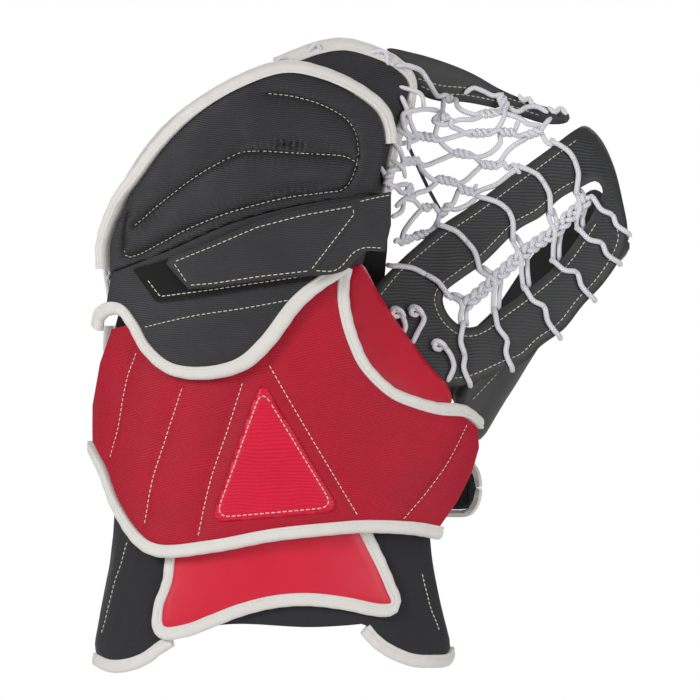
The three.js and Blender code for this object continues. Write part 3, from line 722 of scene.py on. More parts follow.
@dataclass
class Panel:
    """A sheet or pad cut to an outline, laid over a form, and puffed between its seams.

    Attributes:
        form: the form that it lies on.
        outline: its outline, closed.
        low: its back's level.
        high: its face's level.
        seams: lines where it is sewn through.
        holes: the outlines of its holes.
        cell: the size of its triangles.
        sink: how far the face drops at a seam.
        reach: how far from a seam the face is back at its full height.
        edge_sink: how far the face drops at the outline.
        edge_reach: how far in from the outline the face is back at its full height.
        pucker: the height of the puckers beside the seams.
        folds: (line, drop, reach) of the deeper folds that the filling pulls beside a seam.
        ripple: the height of its unevenness.
        seed: what its unevenness is drawn from.
    """

    form: Form
    outline: Array
    low: float
    high: float
    seams: Sequence[Array] = ()
    holes: Sequence[Array] = ()
    cell: float = 3.0
    sink: float = 0.0
    reach: float = 10.0
    edge_sink: float = 0.6
    edge_reach: float = 3.0
    pucker: float = 0.0
    folds: Sequence[tuple[Array, float, float]] = ()
    ripple: float = 0.0
    seed: int = 1

    def flat(self, line: Array) -> Array:
        """A line's pattern places on this panel's face."""
        return self.form.flatten(line, self.high)

    def face(self, flat: Array) -> Array:
        """The level of the panel's face at pattern places."""
        places = flat.reshape(-1, 2)
        edge = np.min([nearest(places, self.flat(rim), True)[0] for rim in (self.outline, *self.holes)], 0)
        level = self.high - self.edge_sink * (1 - crown(edge / self.edge_reach))
        if len(self.seams):
            found = [nearest(places, self.flat(seam)) for seam in self.seams]
            gap = np.min([f[0] for f in found], 0)
            level -= self.sink * (1 - crown(gap / self.reach))
            for i, (near, far_along) in enumerate(found):
                tucks = np.sin(far_along * 2 * math.pi / PUCKER_PITCH + 1.6 * np.sin(far_along / 13 + i))
                level += self.pucker * tucks * np.exp(-((near - 4.0) / 4.5) ** 2) * smooth(0, 3, near)
        for line, drop, reach in self.folds:
            near, far_along = nearest(places, self.flat(line))
            share = smooth(0, 18, far_along) * (1 - smooth(-18, 0, far_along - travel(self.flat(line))[-1]))
            pinch = 0.75 + 0.25 * np.sin(far_along * 2 * math.pi / PUCKER_PITCH + np.sin(far_along / 9))
            level -= drop * share * pinch * np.exp(-((near / reach) ** 2))
        level += self.ripple * waves(places, 26, self.seed) * smooth(0, 12, edge)
        return level.reshape(flat.shape[:-1])

    def build(self, zone_at: Callable[[Array], Array] | None = None) -> Shape:
        """Makes the panel.

        Args:
            zone_at: which finish each place takes, where there are several.

        Returns:
            The panel's mesh: face, back and the wall round its edge.
        """
        shape = Shape()
        flat, faces = triangulate(self.flat(self.outline), [self.flat(hole) for hole in self.holes],
                                  [self.flat(seam) for seam in self.seams], self.cell)
        count = len(flat)
        zones = zone_at(flat[faces].mean(1)) if zone_at else np.zeros(len(faces), int)
        sides = np.vstack([faces[:, [0, 1]], faces[:, [1, 2]], faces[:, [2, 0]]])
        known = set(map(tuple, sides.tolist()))
        border = np.array([(a, b) for a, b in sides.tolist() if (b, a) not in known])
        top = self.face(flat)
        walls = np.column_stack([border[:, 1], border[:, 0], border[:, 0] + count, border[:, 1] + count])
        points = np.vstack([self.form.place(flat, top), self.form.place(flat, self.low)])
        both = np.vstack([flat, flat])
        corners = np.vstack([flat[faces].reshape(-1, 2), flat[faces[:, ::-1]].reshape(-1, 2),
                             both[walls].reshape(-1, 2)])
        shape.add(points, [*faces.tolist(), *(faces[:, ::-1] + count).tolist(), *walls.tolist()], corners,
                  np.concatenate([zones, np.zeros(len(faces) + len(walls), int)]))
        return shape


def sweep(shape: Shape, rings: Array, across: Array, lengths: Array, closed: bool = False) -> None:
    """Skins a row of rings.

    Args:
        shape: what the skin is added to.
        rings: the rings' points, (rings, points in a ring, 3).
        across: the pattern place of each ring point across the strip, with one more for the way round.
        lengths: the pattern place of each ring along it.
        closed: whether the last ring joins the first.
    """
    count, sides = rings.shape[:2]
    steps = range(count if closed else count - 1)
    faces, corners = [], []
    for i in steps:
        j = (i + 1) % count
        far = lengths[i + 1] if i + 1 < len(lengths) else lengths[-1]
        for k in range(sides):
            m = (k + 1) % sides
            faces.append([i * sides + k, i * sides + m, j * sides + m, j * sides + k])
            corners += [(lengths[i], across[k]), (lengths[i], across[k + 1]), (far, across[k + 1]),
                        (far, across[k])]
    if not closed:
        faces += [list(range(sides))[::-1], list(range((count - 1) * sides, count * sides))]
        corners += [(lengths[0], across[k]) for k in range(sides)][::-1]
        corners += [(lengths[-1], across[k]) for k in range(sides)]
    shape.add(rings.reshape(-1, 3), faces, np.array(corners, float))


def unit(vectors: Array) -> Array:
    """Vectors at length one."""
    return vectors / np.maximum(np.linalg.norm(vectors, axis=-1, keepdims=True), 1e-9)


def lace(shape: Shape, points: Array | Sequence, radius: float = LACE_RADIUS, step: float = 1.5,
         sides: int = 9) -> None:
    """Adds a length of round lace along a smooth path, with its ends rounded off."""
    path = spline(points, step)
    heading = unit(np.gradient(path, axis=0))
    normal = unit(np.cross(heading[0], (0.31, 0.9, 0.27)))
    normals = []
    for way in heading:
        normal = unit(normal - way * (normal @ way))
        normals.append(normal)
    normals = np.array(normals)
    sides_way = np.cross(heading, normals)
    turn = np.linspace(0, 2 * math.pi, sides, endpoint=False)
    girth = np.full(len(path), radius)
    girth[[0, -1]] *= 0.45
    girth[[1, -2]] *= 0.88
    out = np.cos(turn)[:, None] * normals[:, None] + np.sin(turn)[:, None] * sides_way[:, None]
    sweep(shape, path[:, None] + girth[:, None, None] * out,
          np.linspace(0, LACE_GIRTH, sides + 1), travel(path))


def stitch(shape: Shape, panel: Panel, line: Array, pitch: float = 3.3, length: float = 2.5,
           radius: float = 0.27, lift: float = 0.0) -> None:
    """Adds a row of lockstitches along a line on a panel's face.

    Args:
        shape: what the stitches are added to.
        panel: the panel that they are sewn into.
        line: the line, square on.
        pitch: the distance from stitch to stitch.
        length: a stitch's length.
        radius: half the thread's width.
        lift: how much higher than the face they lie.
    """
    flat = even(panel.flat(line), 1.0)
    middles = np.arange(pitch / 2, travel(flat)[-1] - pitch / 3, pitch)
    shares = np.array([-0.5, -0.43, -0.25, 0.0, 0.25, 0.43, 0.5])
    heights = np.array([-0.5, 0.0, 0.2, 0.26, 0.2, 0.0, -0.5]) + lift
    girths = radius * np.array([0.45, 0.85, 1.0, 1.0, 1.0, 0.85, 0.45])
    places = at_travel(flat, middles[:, None] + shares * length)
    level = panel.face(places)
    spine = panel.form.place(places, level + heights)
    up = unit(panel.form.place(places, level + 1) - panel.form.place(places, level))
    heading = unit(np.gradient(spine, axis=1))
    out = np.cross(heading, up)
    up = np.cross(out, heading)
    turn = np.linspace(0, 2 * math.pi, 6, endpoint=False)
    rings = spine[:, :, None] + girths[:, None, None] * (
        np.cos(turn)[:, None] * out[:, :, None] + np.sin(turn)[:, None] * up[:, :, None])
    for middle, ring in zip(middles, rings):
        sweep(shape, ring, np.linspace(0, 2.6, 7), middle + shares * length)


@dataclass
class Binding:
    """A tape folded over a panel's edge and sewn through.

    Attributes:
        form: the form that the panel lies on.
        edge: the panel's bound edge, square on.
        low: the panel's lower level.
        high: the panel's upper level.
        side: 1 where the tape lies to the left of the edge's travel, and -1 to its right.
        width: how far the tape stands out past the edge.
        proud: how far it stands above and below the panel.
        closed: whether the edge runs all the way round.
    """

    form: Form
    edge: Array
    low: float
    high: float
    side: int = 1
    width: float = 7.5
    proud: float = 0.6
    closed: bool = False

    def build(self) -> Shape:
        """Makes the tape: lip, sewn groove, flat and round fold, the same at the back."""
        middle, half = (self.low + self.high) / 2, (self.high - self.low) / 2 + self.proud
        fold = min(3.2, 0.42 * self.width)
        flat_run = np.array([(-0.9, -0.75), (-0.3, -0.1), (0.5, 0.0), (1.3, -0.3), (2.1, 0.0),
                             (self.width - fold, 0.05)])
        bend = np.linspace(0, math.pi, 9)[1:-1]
        face = [(a, half + drop) for a, drop in flat_run]
        turn = [(self.width - fold + fold * math.sin(b), half * math.cos(b)) for b in bend]
        section = np.array(face + turn + [(a, -level) for a, level in face[::-1]])
        groove = np.isclose(np.abs(section[:, 0] - 1.3), 0) * np.sign(section[:, 1])
        edge = spline(self.edge, 1.6, self.closed)
        flat = self.form.flatten(edge, middle)
        if self.closed:
            around = np.vstack([flat[-1:], flat, flat[:1]])
            heading = unit(around[2:] - around[:-2])
        else:
            heading = unit(np.gradient(flat, axis=0))
        out = self.side * np.column_stack([-heading[:, 1], heading[:, 0]])
        so_far = travel(flat)
        needle = 0.35 * (0.5 + 0.5 * np.cos(so_far * 2 * math.pi / 3.6))
        creases = 0.12 * np.sin(so_far * 2 * math.pi / 11 + 1.3 * np.sin(so_far / 23))
        reach = section[:, 0] * (1 + creases[:, None] / 12)
        level = middle + section[:, 1] - groove * needle[:, None] + np.sign(section[:, 1]) * creases[:, None]
        places = flat[:, None] + reach[..., None] * out[:, None]
        rings = self.form.place(places, level)
        if self.side < 0:
            rings = rings[:, ::-1]
        across = np.concatenate([[0], np.cumsum(np.linalg.norm(np.diff(section, axis=0), axis=1)), [60.0]])
        shape = Shape()
        lengths = np.append(so_far, so_far[-1] + 1.6) if self.closed else so_far
        sweep(shape, rings, across, lengths, self.closed)
        return shape


def declare(piece: bpy.types.Object, held: Held, panel: Panel | None = None) -> None:
    """Works out the flat size of a sheet's pattern, and nothing for a pad; nothing is kept on the piece."""
    if held is Held.SHEET and panel is not None:
        flat, faces = triangulate(panel.flat(panel.outline), [panel.flat(h) for h in panel.holes], [], 12.0)
        spots = panel.form.place(flat, panel.high)
        a, b, c = (spots[faces[:, i]] for i in range(3))
        area = float(np.linalg.norm(np.cross(b - a, c - a), axis=1).sum() / 2)
        heads = np.linalg.svd(flat - flat.mean(0), full_matrices=False)[2]
        spans = np.ptp(flat @ heads.T, axis=0)
        spans *= max(1.0, math.sqrt(area / (spans[0] * spans[1])) * 1.001)


def settle(piece: bpy.types.Object, panel: Panel, cap: float, pressure: float = 4.0) -> None:
    """Blows a sewn pad up with the cloth solver, as its filling does, and keeps its seams and edges in place.

    Args:
        piece: the pad.
        panel: the panel that it was made from.
        cap: the most that a point may move, in millimetres.
        pressure: the filling's pressure.
    """
    flat = triangulate(panel.flat(panel.outline), [panel.flat(h) for h in panel.holes],
                       [panel.flat(s) for s in panel.seams], panel.cell)[0]
    edge = nearest(flat, panel.flat(panel.outline), True)[0]
    seam = np.min([nearest(flat, panel.flat(s))[0] for s in panel.seams] or [np.full(len(flat), np.inf)], 0)
    count = len(piece.data.vertices)
    free = np.zeros(count, bool)
    free[: len(flat)] = (edge > SEWN_MARGIN) & (seam > SEWN_MARGIN)
    held = piece.vertex_groups.new(name="sewn")
    held.add(np.flatnonzero(~free).tolist(), 1.0, "REPLACE")
    cloth = piece.modifiers.new("fabric", "CLOTH")
    cloth.settings.vertex_group_mass = "sewn"
    cloth.settings.use_pressure = True
    cloth.settings.uniform_pressure_force = pressure
    cloth.settings.effector_weights.gravity = 0
    cloth.settings.tension_stiffness = cloth.settings.compression_stiffness = CLOTH_TENSION
    cloth.settings.bending_stiffness = CLOTH_BENDING
    cloth.point_cache.frame_start, cloth.point_cache.frame_end = 1, CLOTH_FRAMES
    for number in range(1, CLOTH_FRAMES + 1):
        bpy.context.scene.frame_set(number)
    blown = piece.evaluated_get(bpy.context.evaluated_depsgraph_get())
    after = np.array([v.co for v in blown.data.vertices], float)
    piece.modifiers.remove(cloth)
    piece.vertex_groups.remove(held)
    bpy.context.scene.frame_set(1)
    before = np.array([v.co for v in piece.data.vertices], float)
    move = after - before
    far = np.linalg.norm(move, axis=1, keepdims=True)
    move *= np.minimum(1, cap * MM / np.maximum(far, 1e-12))
    piece.data.vertices.foreach_set("co", (before + move * free[:, None]).astype(np.float32).ravel())
    piece.data.update()




# ---------------------------------------------------------------- the glove's sub-assemblies
STEP = 3.0


def line_of(points: Line) -> Array:
    """A smooth pattern line through points."""
    return spline(points, STEP)


def ring_of(*lines: Array) -> Array:
    """A closed outline from lines that follow one another."""
    every = np.vstack(lines)
    kept = np.linalg.norm(every - np.roll(every, 1, 0), axis=1) > 0.8
    return every[kept]


PAD_FOOT = ((64, 280), (42, 277), (17, 273), (-25, 262), (-70, 243), (-104, 230))
PAD_TAPE = ((-106, 232), (-106, 248), (-97, 273), (-84, 291), (-70, 310), (-50, 330), (-22, 348), (7, 358),
            (30, 354), (53, 343), (66, 332), (70, 322), (71, 312))
PAD_EDGE = ((-106, 232), (-106, 248), (-97, 273), (-84, 291), (-70, 310), (-50, 330), (-22, 348), (7, 358),
            (30, 354), (53, 343), (67, 331), (72, 315), (70, 297), (65, 281))


@dataclass
class BackOfHand:
    """The quilted back pad over its board, and the finger guard behind it.

    Attributes:
        pad_level: the pad's levels.
        guard_level: the finger guard's levels.
    """

    pad_level: tuple[float, float] = (3.3, 13.3)
    guard_level: tuple[float, float] = (-5.6, -1.1)

    def pad(self) -> Panel:
        """The back pad's panel with the two lines of quilting that divide it."""
        outer = line_of(((-4, 344), (13, 342), (31, 337), (48, 328), (54, 320), (56, 312), (56, 303),
                         (52, 290), (47, 283), (34, 280.5), (10, 277.5), (-12, 272.5), (-33, 266.5),
                         (-54, 258.5), (-75.5, 248), (-90, 241), (-97, 240), (-98, 251.5), (-96, 267.5)))
        middle = line_of(((-92, 259.5), (-75.5, 273), (-54, 289), (-33, 301), (-22, 306), (-10, 307),
                          (10, 306), (31, 305), (48, 303.5), (54.5, 300)))
        outline = ring_of(line_of(PAD_EDGE), line_of(PAD_FOOT))
        deep = line_of(((-44, 297), (-24, 309.5), (-8, 312), (12, 311.5), (32, 310), (47, 307)))
        low = line_of(((-20, 276), (2, 281), (22, 284), (44, 287)))
        return Panel(HAND, outline, *self.pad_level, seams=(outer, middle), cell=1.7, sink=5.2, reach=17,
                     edge_sink=2.4, edge_reach=10, pucker=0.5, folds=((deep, 3.8, 5.4), (low, 2.6, 4.6)),
                     ripple=0.9, seed=3)

    def build(self) -> None:
        """Makes the pad, its binding and stitches, the finger guard and its ties."""
        panel = self.pad()
        pad = panel.build().piece("back_pad_shell", "hand", BLACK_NYLON, ["back_pad"])
        settle(pad, panel, cap=3.0)
        declare(pad, Held.PADDED)
        Binding(HAND, np.array(PAD_TAPE, float), *self.pad_level, proud=0.4).build().piece(
            "back_pad_tape", "hand", WHITE_BINDING, ["back_pad_binding"])
        seams = Shape()
        for seam in panel.seams:
            stitch(seams, panel, seam)
        seams.piece("back_pad_stitches", "hand", CREAM_THREAD)
        self.guard()

    def guard(self) -> None:
        """Makes the finger guard, its binding and the ties over its edge."""
        edge = ((2, 360), (16, 366), (30, 371), (44, 373), (58, 370), (76, 362), (86, 352), (85, 338),
                (79, 324), (74, 308), (71, 292), (69, 280))
        hidden = ((50, 284), (20, 300), (-15, 318), (-20, 340))
        panel = Panel(HAND, ring_of(line_of(edge), line_of(hidden)), *self.guard_level, edge_sink=0.8,
                      edge_reach=5, ripple=0.5, seed=5)
        guard = panel.build().piece("finger_guard_shell", "hand", BLACK_NYLON, ["finger_guard"])
        declare(guard, Held.PADDED)
        Binding(HAND, np.array(edge, float), *self.guard_level).build().piece(
            "finger_guard_tape", "hand", WHITE_BINDING, ["finger_guard_binding"])
        ties = Shape()
        for start, top, end in (((60, 371), (71, 371), (73, 362)), ((-1, 361), (5, 367), (10, 363)),
                                ((21, 370), (27, 376), (31, 370)), ((80, 349), (94, 344), (96, 334)),
                                ((78, 322), (86, 316), (86, 308)), ((74, 302), (82, 297), (84, 290))):
            points = [(*p, lift) for p, lift in ((start, -1.5), (top, 1.4), (end, -3.0))]
            lace(ties, [HAND.place(HAND.flatten([(x, z)], lift), lift)[0] for x, z, lift in points], 1.5)
        ties.piece("finger_guard_ties", "hand", WHITE_LACE)


FLAP_EDGE = ((44, 236), (26, 225), (11, 212), (-8, 187), (-23, 174), (-46, 169), (-65, 172), (-79, 184),
             (-87, 198), (-96, 209), (-107, 211))
FLAP_TAPE = (*FLAP_EDGE[:-1], (-105, 210), (-112, 205), (-114, 196))


@dataclass
class WristFlap:
    """The flap below the back pad, with the loop patch that the hand strap closes on.

    Attributes:
        level: the flap's levels.
        patch_level: the patch's levels.
    """

    level: tuple[float, float] = (8.3, 13.3)
    patch_level: tuple[float, float] = (14.4, 15.6)

    def build(self) -> None:
        """Makes the flap, its white tape, its seam and the patch."""
        top = beside(line_of(PAD_FOOT), 0.7)[::-1]
        seam = line_of(((-83, 195), (-52, 202), (-19, 207), (9, 212)))
        panel = Panel(HAND, ring_of(line_of(FLAP_EDGE), top), *self.level, seams=(seam,), sink=0.9, reach=6,
                      edge_sink=0.7, edge_reach=5, ripple=0.6, seed=8)
        flap = panel.build().piece("wrist_flap_shell", "hand", BLACK_NYLON, ["wrist_flap"])
        declare(flap, Held.PADDED)
        Binding(HAND, np.array(FLAP_TAPE, float), *self.level).build().piece(
            "wrist_flap_tape", "hand", WHITE_BINDING, ["wrist_flap_binding"])
        patch_edge = ((-90, 232), (-75, 211), (-41, 215), (26, 225), (40, 240), (20, 250), (-28, 248),
                      (-65, 239))
        patch = Panel(HAND, ring_of(even(np.array((*patch_edge, patch_edge[0]), float), STEP)),
                      *self.patch_level, edge_sink=0.3, edge_reach=2)
        patch.build().piece("loop_patch_pile", "hand", HOOK_PILE, ["loop_patch"])
        seams = Shape()
        stitch(seams, panel, seam)
        border = even(np.array(((-80, 225), (-72, 214.5), (-41, 218.5), (20, 227.5)), float), 2.0)
        stitch(seams, patch, border, radius=0.3)
        seams.piece("wrist_flap_stitches", "hand", CREAM_THREAD)


@dataclass
class HandStrap:
    """The strap across the back of the hand, with its stitched label plate left plain.

    Attributes:
        level: the strap's levels.
        label_level: the plate's levels.
        hook_level: the hook patch's levels.
    """

    level: tuple[float, float] = (18.4, 21.0)
    label_level: tuple[float, float] = (21.2, 22.2)
    hook_level: tuple[float, float] = (16.7, 17.9)

    def build(self) -> None:
        """Makes the strap, the hook patch under its end, the plate and the dashed borders."""
        top = ((75, 281), (47, 275), (19, 270), (-10, 262), (-38, 250), (-66, 239))
        foot = ((-54, 219), (-38, 220), (-10, 224), (19, 227), (40, 229), (47, 232), (54, 239), (59, 243),
                (71, 243))
        outline = ring_of(line_of(top), np.array([(-68.5, 235.5)]), line_of(foot), np.array([(75, 260.0)]))
        strap = Panel(HAND, outline, *self.level, edge_sink=0.5, edge_reach=2.5, ripple=0.35, seed=11)
        made = strap.build().piece("hand_strap_webbing", "hand_strap", STRAP_NYLON, ["hand_strap"])
        declare(made, Held.SHEET, strap)
        plate_edge = np.array(((52, 273.5), (19, 268.2), (-10, 260.5), (-38, 248.5), (-66, 237.5),
                               (-67, 235.5), (-53.6, 219.8), (-38, 220.8), (-10, 224.8), (25.5, 229),
                               (53.5, 267), (52, 273.5)),
                              float)
        plate = Panel(HAND, ring_of(even(plate_edge, STEP)), *self.label_level, edge_sink=0.5, edge_reach=2)
        plate.build().piece("hand_strap_plate", "hand_strap", STRAP_NYLON, ["hand_strap_label"])
        hook = Panel(HAND, ring_of(even(np.array(((10, 262), (-10, 256), (-38, 244), (-58, 235), (-50, 224),
                                                  (-10, 229), (10, 231), (10, 262)), float), STEP)),
                     *self.hook_level)
        hook.build().piece("hand_strap_hook_pile", "hand_strap", HOOK_PILE, ["hand_strap_hook"])
        seams = Shape()
        stitch(seams, strap, line_of(((74, 279), (62, 276.6), (54, 274.6))))
        foot_line = ((26.5, 230.8), (38.5, 230.8), (44, 234.5), (51, 242.5), (57.5, 245.4), (70, 245.2))
        stitch(seams, strap, line_of(foot_line))
        for line in (((50, 271.6), (19, 266), (-10, 258.4), (-38, 246.4), (-63, 236.4)),
                     ((-63, 235.4), (-54, 222)), ((-53, 221.6), (-38, 222.8), (-10, 227), (23, 230.7)),
                     ((50.5, 270), (51, 266.5), (24, 231.5))):
            stitch(seams, plate, even(np.array(line, float), 2.0))
        seams.piece("hand_strap_stitches", "hand_strap", CREAM_THREAD)


CUFF_THUMB_EDGE = ((131, 131), (122, 138), (104, 140), (88, 144.5), (75, 150), (64, 159), (54, 171),
                   (48, 184), (43.5, 198), (41, 212), (41, 224))
CUFF_THUMB_TAPE = (*CUFF_THUMB_EDGE, (43, 234))
CUFF_BOTTOM_EDGE = ((-117, 122), (-108, 105), (-99, 83), (-84, 62), (-72, 56), (-38, 59), (-1, 66), (36, 70),
                    (59, 71.5), (90, 70), (106, 67))


@dataclass
class Cuff:
    """The one-piece cuff: a padded red shell, its bindings and the raised triangle on it.

    Attributes:
        level: the shell's levels.
        emblem_level: the triangle's levels.
        corner: the triangle's corner radius.
    """

    level: tuple[float, float] = (0.5, 6.0)
    emblem_level: tuple[float, float] = (6.3, 8.3)
    corner: float = 10.0

    def shell(self) -> Panel:
        """The shell's panel, with the five lines that divide its padding."""
        top = line_of(((35, 223), (10, 216), (-40, 206), (-85, 198), (-104, 194)))
        left = line_of(((-112, 172), (-117, 145)))
        right = line_of(((118, 84), (127, 102), (132, 118)))
        seams = [line_of(points) for points in (
            ((-89, 179), (-96, 159), (-100, 134.5), (-107, 110)),
            ((-59, 156.5), (-69, 127), (-79, 95), (-84, 68)), ((-20, 160), (-30, 129), (-41, 97), (-49, 62)),
            ((-3, 171), (14.5, 141), (35.5, 106), (55, 74)), ((125, 133), (116, 115), (102, 94), (84, 73)))]
        outline = ring_of(line_of(CUFF_THUMB_EDGE), top, left, line_of(CUFF_BOTTOM_EDGE), right)
        return Panel(HAND, outline, *self.level, seams=seams, cell=3.2, sink=2.0, reach=15, edge_sink=1.0,
                     edge_reach=8, pucker=0.16, ripple=0.5, seed=21)

    def build(self) -> None:
        """Makes the shell, its tapes, its stitches and the triangle."""
        panel = self.shell()
        shell = panel.build().piece("cuff_shell_panel", "cuff", RED_NYLON, ["cuff_shell"])
        settle(shell, panel, cap=1.8)
        declare(shell, Held.PADDED)
        for name, edge in (("thumb", CUFF_THUMB_TAPE), ("bottom", CUFF_BOTTOM_EDGE)):
            Binding(HAND, np.array(edge, float), *self.level, side=-1).build().piece(
                f"cuff_{name}_tape", "cuff", WHITE_BINDING, [f"cuff_{name}_binding"])
        seams = Shape()
        for seam in panel.seams:
            stitch(seams, panel, seam)
        seams.piece("cuff_stitches", "cuff", WHITE_THREAD)
        self.emblem()

    def emblem(self) -> None:
        """Makes the raised triangle and the stitches just inside its edge."""
        corners = np.array(((-8, 162), (-41, 70.5), (43, 78)), float)

        def rounded(inset: float) -> Array:
            """The triangle's outline, moved in from its edge."""
            middle = corners.mean(0)
            at = middle + (corners - middle) * (1 - inset / 25)
            made = []
            for before, corner, after in zip(np.roll(at, 1, 0), at, np.roll(at, -1, 0)):
                start, end = (corner + unit(other - corner) * self.corner for other in (before, after))
                share = np.linspace(0, 1, 7)[:, None]
                made.append((1 - share) ** 2 * start + 2 * share * (1 - share) * corner + share**2 * end)
            line = np.vstack(made)
            return even(np.vstack([line, line[:1]]), 1.6)[:-1]

        panel = Panel(HAND, rounded(0.0), *self.emblem_level, cell=2.2, edge_sink=1.6, edge_reach=2.4)
        panel.build().piece("cuff_triangle", "cuff", EMBLEM_RED, ["cuff_emblem"])
        seams = Shape()
        inner = rounded(2.6)
        stitch(seams, panel, np.vstack([inner, inner[:1]]), pitch=3.3, length=2.5)
        seams.piece("cuff_triangle_stitches", "cuff", WHITE_THREAD)


TAB_EDGE = ((-60, 64), (-63, 50), (-65, 33), (-71, 15), (-70, 4), (-56, 5), (-40, 11), (-22, 18), (0, 23.5),
            (22, 25), (45, 22.5), (68, 18), (75, 19), (72, 28), (66, 42), (59, 56), (53, 68))


@dataclass
class CuffFoot:
    """What hangs below the cuff: the red tab, left plain, and the wrist liner behind it.

    Attributes:
        tab_level: the tab's levels.
        liner_level: the liner's levels.
    """

    tab_level: tuple[float, float] = (-6.9, -3.9)
    liner_level: tuple[float, float] = (-11.8, -8.6)

    def build(self) -> None:
        """Makes the tab and the liner with their tapes and stitches."""
        top = line_of(((46, 76), (0, 74), (-52, 70)))
        tab = Panel(HAND, ring_of(line_of(TAB_EDGE), top), *self.tab_level, edge_sink=0.8, edge_reach=5,
                    ripple=0.3, seed=31)
        made = tab.build().piece("cuff_tab_panel", "cuff", RED_SYNTHETIC, ["cuff_tab"])
        declare(made, Held.SHEET, tab)
        Binding(HAND, np.array(TAB_EDGE, float), *self.tab_level, side=-1).build().piece(
            "cuff_tab_tape", "cuff", WHITE_BINDING, ["cuff_tab_binding"])
        self.liner()

    def liner(self) -> None:
        """Makes the wrist liner, the tape on its two corners and its stitch lines."""
        left = line_of(((-106, 76), (-110, 44), (-115, 10), (-115, -12)))
        left_corner = ((-114, -14), (-104, -18), (-92, -17), (-82, -13), (-74, -7), (-66, -2))
        foot = line_of(((-62, 0), (-54, 2.5), (-25, 6), (22, 4), (46, 5), (57, 6)))
        right_corner = ((60, 5), (66, -2), (74, -8), (88, -14), (100, -15), (111, -14), (113.5, -10))
        right = line_of(((113, -4), (107, 20), (102, 46), (100, 66)))
        top = line_of(((80, 84), (0, 88), (-86, 86)))
        seams = [line_of(points) for points in (((-94, 58), (-102, 32), (-111, -2)),
                                                ((95, 38), (99, 22), (106, 1)))]
        outline = ring_of(left, line_of(left_corner), foot, line_of(right_corner), right, top)
        panel = Panel(HAND, outline, *self.liner_level, seams=seams, cell=4.0, sink=0.8, reach=7,
                      edge_sink=0.8, edge_reach=4, ripple=0.9, seed=33)
        made = panel.build().piece("wrist_liner_panel", "cuff", LINER_KNIT, ["wrist_liner"])
        declare(made, Held.SHEET, panel)
        for name, edge in (("left", left_corner), ("right", right_corner)):
            Binding(HAND, np.array(edge, float), *self.liner_level, side=-1).build().piece(
                f"liner_{name}_tape", "cuff", WHITE_BINDING, [f"liner_binding_{name}"])
        shape = Shape()
        for seam in seams:
            stitch(shape, panel, seam, radius=0.3)
        shape.piece("wrist_liner_stitches", "cuff", CREAM_THREAD)


@dataclass
class PalmSide:
    """The palm: leather with its white tape, the foam on it, the heel, the side wall and the finger sleeves.

    Attributes:
        level: the palm leather's levels.
        heel_level: the heel's levels.
        foam_level: the foam's levels.
    """

    level: tuple[float, float] = (-2.0, 0.0)
    heel_level: tuple[float, float] = (-5.7, -3.7)
    foam_level: tuple[float, float] = (1.7, 8.7)

    def build(self) -> None:
        """Makes the palm's leather pieces, its foam, the side wall and its lace."""
        edge = ((-103, 214), (-106, 240), (-101, 268), (-88, 296), (-68, 322), (-42, 342), (-14, 356))
        rest = line_of(((-14, 356), (14, 365), (44, 371), (72, 364), (88, 350), (82, 326), (76, 300),
                        (73, 270), (72, 240), (66, 214), (30, 206), (-40, 204), (-103, 214)))[1:-1]
        palm = Panel(PALM, ring_of(line_of(edge), rest), *self.level, cell=4.0, edge_sink=0.4, ripple=0.8,
                     seed=41)
        made = palm.build().piece("palm_leather_panel", "hand", BLACK_LEATHER, ["palm_leather"])
        declare(made, Held.SHEET, palm)
        Binding(PALM, np.array(edge, float), *self.level, width=4.2).build().piece(
            "palm_leather_tape", "hand", WHITE_BINDING, ["palm_leather_binding"])
        filling = spline(((-86, 226), (-86, 250), (-70, 288), (-44, 318), (0, 340), (40, 346), (62, 330),
                          (60, 290), (58, 240), (48, 222), (-30, 216)), STEP, closed=True)
        foam = Panel(PALM, filling, *self.foam_level, cell=4.5, edge_sink=3.0, edge_reach=10)
        declare(foam.build().piece("palm_foam_pad", "hand", GREY_FOAM, ["palm_foam"]), Held.PADDED)
        heel_edge = ((20, 148), (0, 140), (-44, 134), (-78, 140), (-96, 152), (-102, 176), (-102, 196))
        heel_top = line_of(((-94, 226), (0, 222), (60, 226), (56, 190), (38, 162)))
        heel = Panel(PALM, ring_of(line_of(heel_edge), heel_top), *self.heel_level, cell=4.0, edge_sink=0.4,
                     ripple=0.7, seed=43)
        made = heel.build().piece("palm_heel_panel", "cuff", BLACK_LEATHER, ["palm_heel"])
        declare(made, Held.SHEET, heel)
        Binding(PALM, np.array(heel_edge, float), *self.heel_level).build().piece(
            "palm_heel_tape", "cuff", WHITE_BINDING, ["palm_heel_binding"])
        self.side_lace()

    def side_lace(self) -> None:
        """Makes the lace that sews the back to the palm along the little finger's side."""
        heights = 226 + 4 * np.arange(17)
        x = stations(((220, -105), (250, -104.6), (300, -86.5)), heights)
        y = np.where(np.arange(17) % 2, 8.0, -20.0)
        shape = Shape()
        lace(shape, np.column_stack([x - 1.2 * np.cos(np.arange(17) * math.pi), y, heights]))
        shape.piece("little_finger_side_lace", "hand", WHITE_LACE, ["little_finger_lace"])


